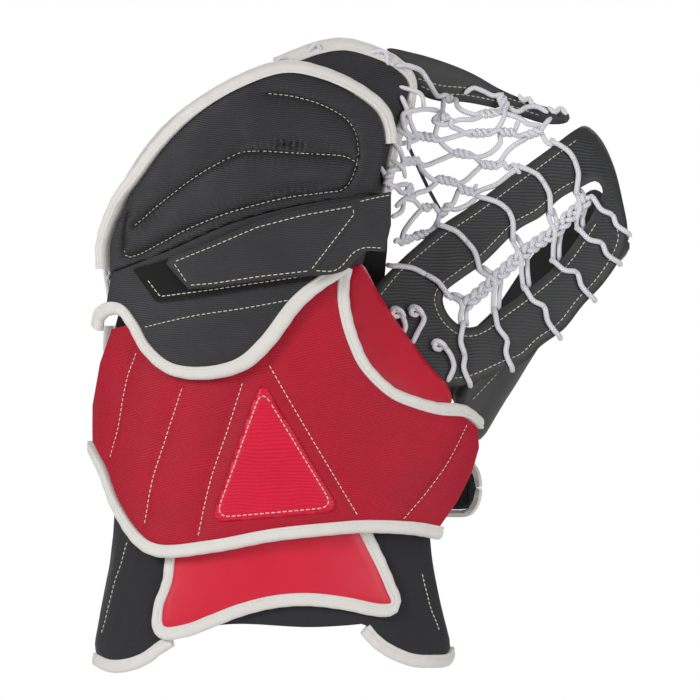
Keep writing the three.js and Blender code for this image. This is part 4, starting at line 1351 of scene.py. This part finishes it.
@dataclass
class ThumbWeb:
    """The smooth red pad between the cuff and the trap.

    Attributes:
        thickness: the pad's thickness.
        setback: how far the pad lies behind its form, clear of the cuff's tape when the wrist bends.
    """

    thickness: float = 6.0
    setback: float = 2.0

    def build(self) -> None:
        """Makes the pad."""
        outline = spline(((55, 236), (67, 217), (77, 201), (88, 186), (100, 170), (112, 156), (113, 146),
                          (96, 143), (78, 149), (60, 165), (49, 188), (46, 212), (48, 230)), STEP,
                         closed=True)
        panel = Panel(WEB, outline, -self.thickness - self.setback, -self.setback, cell=2.6, edge_sink=3.0,
                      edge_reach=9, ripple=0.3, seed=51)
        pad = panel.build().piece("thumb_web_cushion", "hand", RED_SYNTHETIC, ["thumb_web_pad"])
        settle(pad, panel, cap=1.5)
        declare(pad, Held.PADDED)


TRAP_OUTLINE = ((64, 219), (78, 235), (91.5, 247.5), (106.5, 260), (127, 273.5), (150, 290.5), (177.5, 310.5),
                (194, 322.5), (200, 325), (209, 318), (218, 300), (224, 276), (227, 256), (224, 243),
                (212, 224), (198, 209), (186, 194), (171, 183), (161, 173), (150, 169), (126, 159),
                (113, 157), (100, 158), (84, 166), (69, 184), (62, 205))
TRAP_SLOT = ((108, 213), (110, 218), (120, 226), (134, 236), (157, 258), (171, 266), (184, 278), (197, 285),
             (207, 289), (211, 283), (203.5, 266), (191, 247), (182, 236), (171, 226), (157, 215), (143, 205),
             (134, 198), (126, 195), (118, 197), (111, 204))
TRAP_THICKNESS = 5.0


def beside_trap(point: tuple[float, float], level: float) -> Array:
    """A place beside the trap, at a level in front of its face, or behind it below zero."""
    return TRAP.place(np.array(point, float), level)


@dataclass
class Trap:
    """The double-T trap: two ribbed straps round a slot, with lace over them, through the slot and in knots.

    Attributes:
        inset: how far the stitches lie in from the edges.
        face: how far in front of the leather a lace's middle lies.
        behind: how far behind the leather's face the lace runs at the back.
        bow: how far a lace bows to one side between its edge and its hole.
    """

    inset: float = 5.2
    face: float = 1.9
    behind: float = -7.6
    bow: float = 2.0

    def build(self) -> None:
        """Makes the leather, its stitches and its laces."""
        outline, slot = spline(TRAP_OUTLINE, STEP, closed=True), spline(TRAP_SLOT, STEP, closed=True)
        loops = [outline, slot]

        def ribbed(flat: Array) -> Array:
            """The ribbed cloth between the stitches, and plain leather outside them."""
            edge = np.min([nearest(flat, loop, True)[0] for loop in loops], 0)
            return (edge > self.inset).astype(int)

        panel = Panel(TRAP, outline, -TRAP_THICKNESS, 0.0, holes=(slot,), cell=2.2, edge_sink=1.2,
                      edge_reach=3.5, ripple=0.35, seed=61)
        panel.build(ribbed).piece("trap_leather", "trap", (BLACK_LEATHER, TRAP_WEAVE), ["trap"])
        seams = Shape()
        upper = line_of(((66, 213), (81, 231), (96, 244), (110, 255), (130, 268.3), (153, 285.3), (180, 305),
                         (195, 316)))
        lower = line_of(((219, 262), (221, 254), (218, 243.5), (207.5, 227), (194, 212.5), (182.5, 198),
                         (168, 187.5), (158, 178), (148, 174), (125, 164), (113, 162.3)))
        around = line_of(((196, 290.5), (183, 283.5), (168.5, 270.8), (154, 262.5), (131, 240.2),
                          (117, 230.3), (106, 221.5), (102.6, 214), (104.5, 205), (110.5, 196), (119, 190.2),
                          (128, 189.6), (137, 193.4), (146, 200.6), (160, 210.7), (174.4, 221.8),
                          (186, 232.5), (195.3, 244.2), (207.7, 263.5)))
        for line in (upper, lower, around):
            stitch(seams, panel, line)
        seams.piece("trap_stitches", "trap", CREAM_THREAD)
        self.straps()
        self.chain()
        self.knots()

    def wrap(self, shape: Shape, edge: tuple, pinch: tuple, slot: tuple) -> None:
        """Lace over a strap: round its edge, through a hole in its middle and up again, and into the slot."""
        edge, pinch, slot = (np.array(p, float) for p in (edge, pinch, slot))
        out, back = unit(edge - pinch), unit(slot - pinch)
        dip = 2.2 * unit(slot - edge)
        bow = self.bow * np.array([-dip[1], dip[0]]) / 2.2
        first = [(edge + 2.6 * out, self.behind), (edge + 3.4 * out, -2.6), (edge + 1.2 * out, 0.9),
                 (edge * 0.88 + pinch * 0.12 + 0.5 * bow, self.face),
                 (edge * 0.45 + pinch * 0.55 + bow, self.face + 0.4), (pinch - dip * 0.6, self.face - 0.3),
                 (pinch + dip * 0.2, -1.6)]
        second = [(pinch - dip * 0.2, -1.6), (pinch + dip * 0.6, self.face - 0.3),
                  (pinch * 0.5 + slot * 0.5 + bow, self.face + 0.4),
                  (slot * 0.88 + pinch * 0.12 + 0.4 * bow, self.face),
                  (slot + 1.2 * back, 0.9), (slot + 3.2 * back, -2.6), (slot + 2.4 * back, self.behind)]
        for half in (first, second):
            lace(shape, [beside_trap(p, level) for p, level in half])

    def straps(self) -> None:
        """Makes the wraps of both straps, each with the lace that runs on behind."""
        upper = (((76.5, 234), (97, 229), (111, 216)), ((107, 260), (123, 250.5), (131, 234)),
                 ((133, 278), (150, 270), (153, 254)), ((160, 297), (173, 288), (177, 271)),
                 ((181, 313), (193, 302), (194, 284)))
        lower = (((125, 161), (122, 177), (121, 195)), ((152, 171), (149, 187), (142, 204)),
                 ((182, 191), (173, 208), (162, 219)), ((204, 215), (194, 230), (181, 236.5)),
                 ((220, 238), (210, 249), (197, 257)), ((226, 257), (217, 267), (206, 277)))
        for name, wraps in (("upper", upper), ("lower", lower)):
            shape = Shape()
            for edge, pinch, slot in wraps:
                self.wrap(shape, edge, pinch, slot)
            lace(shape, [beside_trap(pinch, self.behind - 1.6 * (i % 2)) for i,
                         (_, pinch, _) in enumerate(wraps)])
            shape.piece(f"{name}_strap_wraps", "trap", WHITE_LACE, [f"{name}_strap_lace"])

    def chain(self) -> None:
        """Makes the three-strand braid along the slot, and the lace that ties it to the straps."""
        route = spline(((122, 209), (134, 219), (146, 230), (158, 241), (170, 250), (181, 257), (189, 266),
                        (198, 274), (201, 280)), 1.2)
        so_far = travel(route)
        left = beside(route, 1.0) - route
        shape = Shape()
        for strand in range(3):
            turn = 2 * math.pi * (so_far / 19 + strand / 3)
            flat = route + 3.1 * np.sin(turn)[:, None] * left
            level = -1.4 + 1.7 * np.sin(2 * turn)
            lace(shape, np.array([beside_trap(p, lift) for p, lift in zip(flat, level)]), 1.65)
        links = (((111, 216), (117, 214.5), (122, 210), (121, 202), (122, 195)),
                 ((131, 234), (137, 229.5), (143, 226), (142.5, 216), (142, 204)),
                 ((153, 254), (157, 247), (160, 241), (160.5, 231), (162, 219)),
                 ((177, 271), (179, 264), (182, 257), (181, 247), (181, 237)),
                 ((194, 284), (197, 279), (198, 272), (196, 264), (197, 257)))
        for link in links:
            for shift in (-1.9, 1.9):
                points = np.array(link, float) + (shift, 0.35 * shift)
                levels = (-5.0, -1.8, 1.6, -1.8, -5.0) if shift < 0 else (-5.0, -2.4, -4.6, -2.4, -5.0)
                lace(shape, [beside_trap(p, lift) for p, lift in zip(points, levels)], 1.6)
        shape.piece("slot_braid", "trap", WHITE_LACE, ["slot_lace"])

    def knots(self) -> None:
        """Makes the knots over the trap's base, each with a tail that runs under the cuff's edge."""
        plans = ((((78, 204), (83, 200), (84, 195), (81, 189))),
                 (((90, 205), (96, 201), (92, 192), (88, 184))),
                 (((105, 183), (112, 179), (115, 170), (111, 160))))
        for number, (knot, *tail) in enumerate(plans, 1):
            shape = Shape()
            turn = np.linspace(-0.4, 2 * math.pi + 0.9, 12)
            ring = [(knot[0] + 2.4 * math.cos(t), knot[1] + 2.1 * math.sin(t)) for t in turn]
            levels = 2.2 + 1.9 * np.sin(turn / 1.6)
            head = [beside_trap(p, lift) for p, lift in zip(ring, levels)]
            ends = [beside_trap(p, lift) for p, lift in zip(tail, (3.4, 2.6, 1.6))]
            lace(shape, [*head, *ends], 1.75)
            cross = [(knot[0] - 4, knot[1] + 1.0), (knot[0] - 1, knot[1] + 3.4),
                     (knot[0] + 3.2, knot[1] + 1.4), (knot[0] + 5.6, knot[1] - 3.0)]
            lace(shape, [beside_trap(p, lift) for p, lift in zip(cross, (0.6, 4.6, 5.6, 1.8))], 1.7)
            shape.piece(f"trap_knot_{number}", "trap", WHITE_LACE, [f"trap_knot_lace_{number}"])


@dataclass
class ThumbSide:
    """The thumb's padded outside, its leather inside and the rim past it.

    Attributes:
        thickness: the pad's thickness.
        rim_thickness: the rim's thickness.
        lining_level: the inside leather's levels.
    """

    thickness: float = 11.0
    rim_thickness: float = 4.0
    lining_level: tuple[float, float] = (-19.5, -17.5)

    def build(self) -> None:
        """Makes the pad with its stitch line, the lining and the rim."""
        outline = spline(((4, 2), (26, -6), (60, -6), (76, 4), (78, 60), (70, 120), (50, 146), (8, 148),
                          (4, 140), (4, 70)), STEP, closed=True)
        seam = line_of(((13, 8), (13, 40), (13, 80), (14, 132)))
        panel = Panel(THUMB, outline, -self.thickness, 0.0, seams=(seam,), cell=3.6, sink=1.4, reach=9,
                      edge_sink=4.0, edge_reach=10, ripple=0.5, seed=71)
        pad = panel.build().piece("thumb_pad_shell", "thumb", THUMB_LEATHER, ["thumb_pad"])
        settle(pad, panel, cap=1.5)
        declare(pad, Held.PADDED)
        seams = Shape()
        stitch(seams, panel, seam)
        seams.piece("thumb_pad_stitches", "thumb", CREAM_THREAD)
        lining = spline(((26, 8), (74, 4), (80, 60), (76, 120), (58, 142), (24, 140), (24, 70)), STEP,
                        closed=True)
        inside_panel = Panel(THUMB, lining, *self.lining_level, cell=4.0, edge_sink=0.4, ripple=0.5, seed=73)
        made = inside_panel.build().piece("thumb_lining_leather", "thumb", BLACK_LEATHER,
                                          ["thumb_palm_leather"])
        declare(made, Held.SHEET, inside_panel)
        rim_line = spline(((80, 2), (112, 4), (116, 60), (116, 150), (110, 158), (76, 150), (73, 120),
                           (80, 60)), STEP,
                          closed=True)
        rim = Panel(THUMB, rim_line, -self.rim_thickness, 0.0, cell=3.6, edge_sink=1.0, ripple=0.4, seed=75)
        rim.build().piece("thumb_rim_leather", "thumb", BLACK_LEATHER, ["thumb_rim"])
        edge = Shape()
        for r in (91.5, 110.5):
            stitch(edge, rim, line_of(((r, 6), (r, 60), (r, 110), (r, 150))))
        edge.piece("thumb_rim_stitches", "thumb", CREAM_THREAD)


NET_KNOTS = {
    "a": (97.8, 317), "b": (132, 319.7), "c": (149.6, 320.3), "d": (166.1, 319.7), "e": (119.8, 306.5),
    "f": (137.5, 299.3), "g": (151.8, 298.2), "h": (87.9, 301.5), "i": (109.9, 289.4), "j": (123.1, 282.8),
    "k": (86.8, 281.7), "l": (73.5, 291.6), "m": (100, 271.8), "n": (109.9, 270.7), "o": (93.4, 254.2),
    "p": (83.5, 250.9), "q": (137.4, 332.4), "r": (111, 328), "s": (114, 341), "t": (147.4, 340)}
NET_STRANDS = (
    ((105.5, 334), (97.8, 334.7), (90, 333.5), (82.3, 330.7), (83.4, 322.5), (89, 317.5), "a", (105.5, 314.8),
     (122, 319.2), "b", "c", (158, 318), "d", (172, 323), (178, 330)),
    ((105.5, 334), "r", (116.5, 322.5), "b", (141.9, 321.4), (147.4, 330), "t", (140.8, 344), (134, 347),
     (127.6, 348.9), (122, 345)),
    ((77, 311.5), (88, 314), "a", (104, 322), "r"),
    ((81.2, 343), (84.5, 335.7), (87.9, 324.7), "a", (110, 310.4), (115.4, 307), "e", (127.6, 304.8),
     (133, 300.4), "f", "g", (159, 293)),
    ((158, 331), "c", (145, 313.7), (138.6, 307), (129.8, 304.3), "e", (112, 304.8), (104.4, 301.5),
     (96.7, 298.8), "h", (81, 297), "l", (76.8, 285), (83.4, 281), "k", (83.4, 277.3), (82.3, 270.7),
     (75.7, 265.2)),
    ((72, 318.6), (80, 309), "h", (93.4, 298), (97.8, 292.7), (103.3, 289.4), "i", (116.5, 286.7),
     (123, 289.4), (127.6, 293.8), "f", (145, 301.5), (149.6, 308), (155, 312.6), "d", (176, 313),
     (183, 314)),
    ((68, 297.7), "l", (80, 296), (84, 300), "h"),
    ((74, 284), "k", (91, 280.6), (97.8, 282.8), (103, 287), "i", "j", (132, 282.8), (143, 287),
     (151.8, 293.8), (160, 298)),
    ((130, 287), "j", (116.5, 278.4), "n", (105.5, 265), (102, 258.5), (97.8, 255), "o", "p", (77, 249)),
    ((78, 272), (84, 277), (90, 276), (94.5, 271.8), "m", "n", (114.3, 270.7), (123, 273), (129.8, 278)),
    ("m", (93.4, 269.6), (86.8, 261.9), (82.3, 254), (81.2, 247)),
    ("p", "o", (98.9, 256), (106, 260)),
    ((78, 362), (84, 362.7), (89, 361.5), (94.5, 358.9), (100, 351), (105.5, 343.4), "s", (121, 334),
     (130, 331.4), "q", (145, 333), (152, 331.3), (158, 329), (162.8, 325.8), (171.6, 324.7)),
    ("s", (107.7, 333.5), (102.2, 327), (108.8, 324.7), (118.7, 328), (127.6, 328.4), "q", (146, 336), "t",
     (156, 333.5), (162.8, 336.8), (169.4, 336.8), (176, 333)),
    ((157, 345), (160, 341), (163.9, 342.3), (166, 337)),
    ((176, 337), (180.4, 333.5), (184, 336), (188, 332)))


@dataclass
class Pocket:
    """The pocket's finger side: the leather rim over the fingertips, the palm's edge and the lace net.

    Attributes:
        twist: half the length over which two laces twist where they meet.
        pull: how far the net hangs back towards the palm between its edges.
        rim_thickness: the rim's thickness.
    """

    twist: float = 4.6
    pull: float = 5.0
    rim_thickness: float = 4.0

    def build(self) -> None:
        """Makes the rim with its two rows of stitches, and the net."""
        outline = spline(((72, 374), (91, 371), (111, 365), (128, 358), (144, 349), (160, 342), (178, 336),
                          (190, 332), (189, 327.5), (176, 326), (152, 333), (138, 337), (121, 340),
                          (106, 340.5), (94, 345), (84, 362)), STEP, closed=True)
        panel = Panel(RIM, outline, -self.rim_thickness, 0.0, edge_sink=1.0, ripple=0.5, seed=81)
        panel.build().piece("finger_rim_leather", "hand", BLACK_LEATHER, ["finger_rim"])
        seams = Shape()
        for line in (((94, 350), (106, 345.5), (122, 344.5), (139, 341.5), (153, 337.5), (172, 331)),
                     ((92, 355), (107, 350.5), (123, 349), (140, 345.5), (155, 341), (174, 334))):
            stitch(seams, panel, line_of(line))
        seams.piece("finger_rim_stitches", "hand", CREAM_THREAD)
        self.net()

    def depth(self, x: Array, z: Array) -> Array:
        """The depth of the net: from the finger guard's edge to the trap's, and up to the rim."""
        from_start = np.stack([x, z], -1) - FOLD_START
        s, t = from_start @ FOLD_ALONG, -(from_start @ FOLD_ACROSS)
        up = np.clip((s - 20) / 150, 0, 1)
        across = 1 - np.clip(t / (12 + 63 * up), 0, 1)
        low, high = 3 + 8 * up, trap_fall(20 + 150 * up, np.zeros_like(up)) + 2
        depth = low + (high - low) * across + self.pull * np.sin(math.pi * across)
        rim = smooth(326, 343, z) * smooth(88, 104, x)
        depth = depth * (1 - rim) + (rim_depth(x, z) - 2.4) * rim
        guard = stations(((280, 76), (311, 80), (345, 96), (366, 88)), z)
        near = 1 - smooth(-2, 13, x - guard)
        front = HAND.place(HAND.flatten(np.column_stack([np.minimum(x, 94), z]), 1.6), 1.6)[:, 1]
        return depth * (1 - near) + front * near

    def net(self) -> None:
        """Makes the net: each strand follows its points, and twists with its neighbour at each knot."""
        headings: dict[str, Array] = {}
        shape = Shape()
        for strand in NET_STRANDS:
            spots = [np.array(NET_KNOTS[p] if isinstance(p, str) else p, float) for p in strand]
            route, lift = [], []
            for i, (name, spot) in enumerate(zip(strand, spots)):
                if not isinstance(name, str):
                    route.append(spot)
                    lift.append(0.0)
                    continue
                ahead = unit(spots[min(i + 1, len(spots) - 1)] - spots[max(i - 1, 0)])
                first = name not in headings
                if first:
                    headings[name] = ahead
                way = headings[name] * (1 if ahead @ headings[name] >= 0 else -1)
                side = np.array([-headings[name][1], headings[name][0]])
                reach = (0, 1) if i == 0 else (-1, 0) if i == len(spots) - 1 else (-1, 1)
                for share in np.linspace(*reach, 7 if 0 not in reach else 4):
                    signed = share * (1 if way @ headings[name] > 0 else -1)
                    turn = math.pi * signed * 1.25 + (0 if first else math.pi)
                    route.append(spot + way * self.twist * share + side * 1.75 * math.sin(turn))
                    lift.append(1.75 * math.cos(turn))
            flat = np.array(route)
            depth = self.depth(flat[:, 0], flat[:, 1]) + np.array(lift)
            lace(shape, np.column_stack([flat[:, 0], depth, flat[:, 1]]), 1.7, step=1.6, sides=8)
        shape.piece("pocket_net", "hand", WHITE_LACE, ["finger_net_lace"])


STRAP_LINE = ((-100, 34), (-70, 50), (0, 58), (70, 52), (116, 34), (137, 12))


@dataclass
class WristStrap:
    """The strap that closes the cuff across the inside of the wrist.

    Attributes:
        foot: its lower edge's height.
        top: its upper edge's height.
        thickness: its thickness.
        tape: the width of the tape on its edges.
        rounding: how long its round end is.
    """

    foot: float = 78.0
    top: float = 106.0
    thickness: float = 2.6
    tape: float = 5.0
    rounding: float = 12.0

    def build(self) -> None:
        """Makes the strap, its hook patch and its two tapes."""
        knots = np.array(STRAP_LINE, float)
        line = spline(knots, 2.0)
        form = StripForm(line)
        length = travel(line)[-1]

        tip, middle, half = 0.965 * length - self.tape, (self.foot + self.top) / 2, (self.top - self.foot) / 2

        def arc(grow: float, low: float, high: float) -> Array:
            """Part of the strap's round end, moved out from the webbing's edge."""
            turn = np.radians(np.linspace(low, high, 9))
            return np.column_stack([tip - self.rounding + (self.rounding + grow) * np.cos(turn),
                                    middle + (half + grow) * np.sin(turn)])

        def ring(start: float, line: Array) -> Array:
            """A closed outline: out along the strap, round its end by a line, and back."""
            first, last = [start * length, line[0, 1]], [start * length, line[-1, 1]]
            return even(np.vstack([first, line, last, first]), STEP)[:-1]

        webbing = Panel(form, ring(0.045, arc(0.0, -90, 90)), -self.thickness, 0.0, edge_sink=0.4,
                        edge_reach=2, ripple=0.3, seed=91)
        made = webbing.build().piece("wrist_strap_webbing", "wrist_strap", STRAP_NYLON, ["wrist_strap"])
        declare(made, Held.SHEET, webbing)
        for name, side in (("top", 1), ("foot", -1)):
            line = np.vstack([arc(self.tape, 90 * side, side), arc(0.4, side, 90 * side)])
            tape = Panel(form, ring(0.2, line), -self.thickness - 0.6, 0.6, edge_sink=1.4, edge_reach=2.2)
            tape.build().piece(f"wrist_strap_{name}_tape", "wrist_strap", WHITE_BINDING,
                               [f"wrist_strap_{name}_binding"])
        hook_line = np.column_stack([[tip - self.rounding / 2] * 2, [self.foot + 2, self.top - 2]])
        hook = Panel(form, ring(0.62, hook_line), 0.5, 1.7)
        hook.build().piece("wrist_strap_hook_pile", "wrist_strap", HOOK_PILE, ["wrist_strap_hook"])


KEPT_NODES = {
    "finger_board": BLACK_BOARD, "cuff_board": BLACK_BOARD, "thumb_board": BLACK_BOARD,
    "side_gusset": BLACK_LEATHER, "pocket_edge": BLACK_LEATHER, "wrist_strap_anchor": STRAP_NYLON,
    "little_finger_stall": LINER_KNIT, "ring_finger_stall": LINER_KNIT, "middle_finger_stall": LINER_KNIT,
    "index_finger_stall": LINER_KNIT}


def dress_kept_nodes() -> None:
    """Gives each part node that stays in sight its finish and a pattern map."""
    for name, finish in KEPT_NODES.items():
        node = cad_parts[name]
        mesh = node.data
        if "pattern" not in mesh.uv_layers:
            layer = mesh.uv_layers.new(name="pattern")
            for polygon in mesh.polygons:
                axis = max(range(3), key=lambda i: abs(polygon.normal[i]))
                keep = [i for i in range(3) if i != axis]
                for corner, vertex in zip(polygon.loop_indices, polygon.vertices):
                    spot = mesh.vertices[vertex].co
                    layer.data[corner].uv = (spot[keep[0]] / MM, spot[keep[1]] / MM)
        mesh.materials.clear()
        mesh.materials.append(finish.make())


# ---------------------------------------------------------------- studio
@dataclass
class Studio:
    """A pale floor, plain soft light and a long lens square on to the back of the hand.

    Attributes:
        middle: what the camera looks at, in metres.
        distance: how far off the camera stands.
        width: how much of the object's plane it sees across.
        floor: the floor's height.
    """

    middle: tuple[float, float, float] = (0.0486, 0.0, 0.1805)
    distance: float = 8.0
    width: float = 0.448
    floor: float = -0.3

    def camera(self) -> None:
        """Makes the camera."""
        data = bpy.data.cameras.new("camera")
        data.sensor_width = 36.0
        data.lens = 36.0 * self.distance / self.width
        data.clip_start, data.clip_end = 0.1, 60.0
        camera = bpy.data.objects.new("camera", data)
        x, y, z = self.middle
        camera.location = (x, y - self.distance, z)
        camera.rotation_euler = (math.pi / 2, 0, 0)
        bpy.context.scene.collection.objects.link(camera)
        bpy.context.scene.camera = camera

    def lamp(self, name: str, place: tuple[float, float, float], size: float, power: float) -> None:
        """Makes a square soft lamp that faces the glove."""
        data = bpy.data.lights.new(name, "AREA")
        data.size, data.energy = size, power
        lamp = bpy.data.objects.new(name, data)
        lamp.location = place
        lamp.rotation_euler = (Vector(self.middle) - Vector(place)).to_track_quat("-Z", "Y").to_euler()
        bpy.context.scene.collection.objects.link(lamp)

    def ground(self) -> None:
        """Makes the pale floor."""
        mesh = bpy.data.meshes.new("studio_floor")
        reach, z = 4.0, self.floor
        mesh.from_pydata([(-reach, -reach, z), (reach, -reach, z), (reach, reach, z), (-reach, reach, z)], [],
                         [(0, 1, 2, 3)])
        paint = bpy.data.materials.new("pale_floor_paint")
        paint.use_nodes = True
        shader = paint.node_tree.nodes["Principled BSDF"]
        shader.inputs["Base Color"].default_value = linear("#f2f2f2")
        shader.inputs["Roughness"].default_value = 0.9
        mesh.materials.append(paint)
        ground = bpy.data.objects.new("studio_floor", mesh)
        bpy.context.scene.collection.objects.link(ground)

    def world(self) -> None:
        """Makes the white surroundings, dimmer for the glove than they look."""
        world = bpy.data.worlds.new("white_studio")
        bpy.context.scene.world = world
        world.use_nodes = True
        tree = world.node_tree
        tree.nodes.clear()
        seen = add_node(tree, "ShaderNodeBackground", {"Color": (1, 1, 1, 1), "Strength": 1.0})
        light = add_node(tree, "ShaderNodeBackground", {"Color": (1, 1, 1, 1), "Strength": 0.36})
        ray = add_node(tree, "ShaderNodeLightPath")
        mix = add_node(tree, "ShaderNodeMixShader",
                       links={0: ray.outputs["Is Camera Ray"], 1: light.outputs[0], 2: seen.outputs[0]})
        add_node(tree, "ShaderNodeOutputWorld", links={0: mix.outputs[0]})
        bpy.context.scene.view_settings.view_transform = "Standard"

    def build(self) -> None:
        """Makes the studio."""
        self.camera()
        self.world()
        self.ground()
        self.lamp("key_light", (-1.9, -1.9, 1.3), 1.0, 46.0)
        self.lamp("fill_light", (2.0, -2.2, 0.4), 1.6, 30.0)
        self.lamp("back_light", (0.8, 2.2, 1.8), 1.6, 34.0)


def main() -> None:
    """Builds the glove's sub-assemblies in order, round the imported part."""
    logging.basicConfig(level=logging.INFO, format="%(name)s: %(message)s")
    Studio().build()
    for assembly in (BackOfHand(), WristFlap(), HandStrap(), Cuff(), CuffFoot(), PalmSide(), ThumbWeb(),
                     Trap(), ThumbSide(), Pocket(), WristStrap()):
        log.info("making %s", type(assembly).__name__)
        assembly.build()
    dress_kept_nodes()


if __name__ == "__main__":
    main()
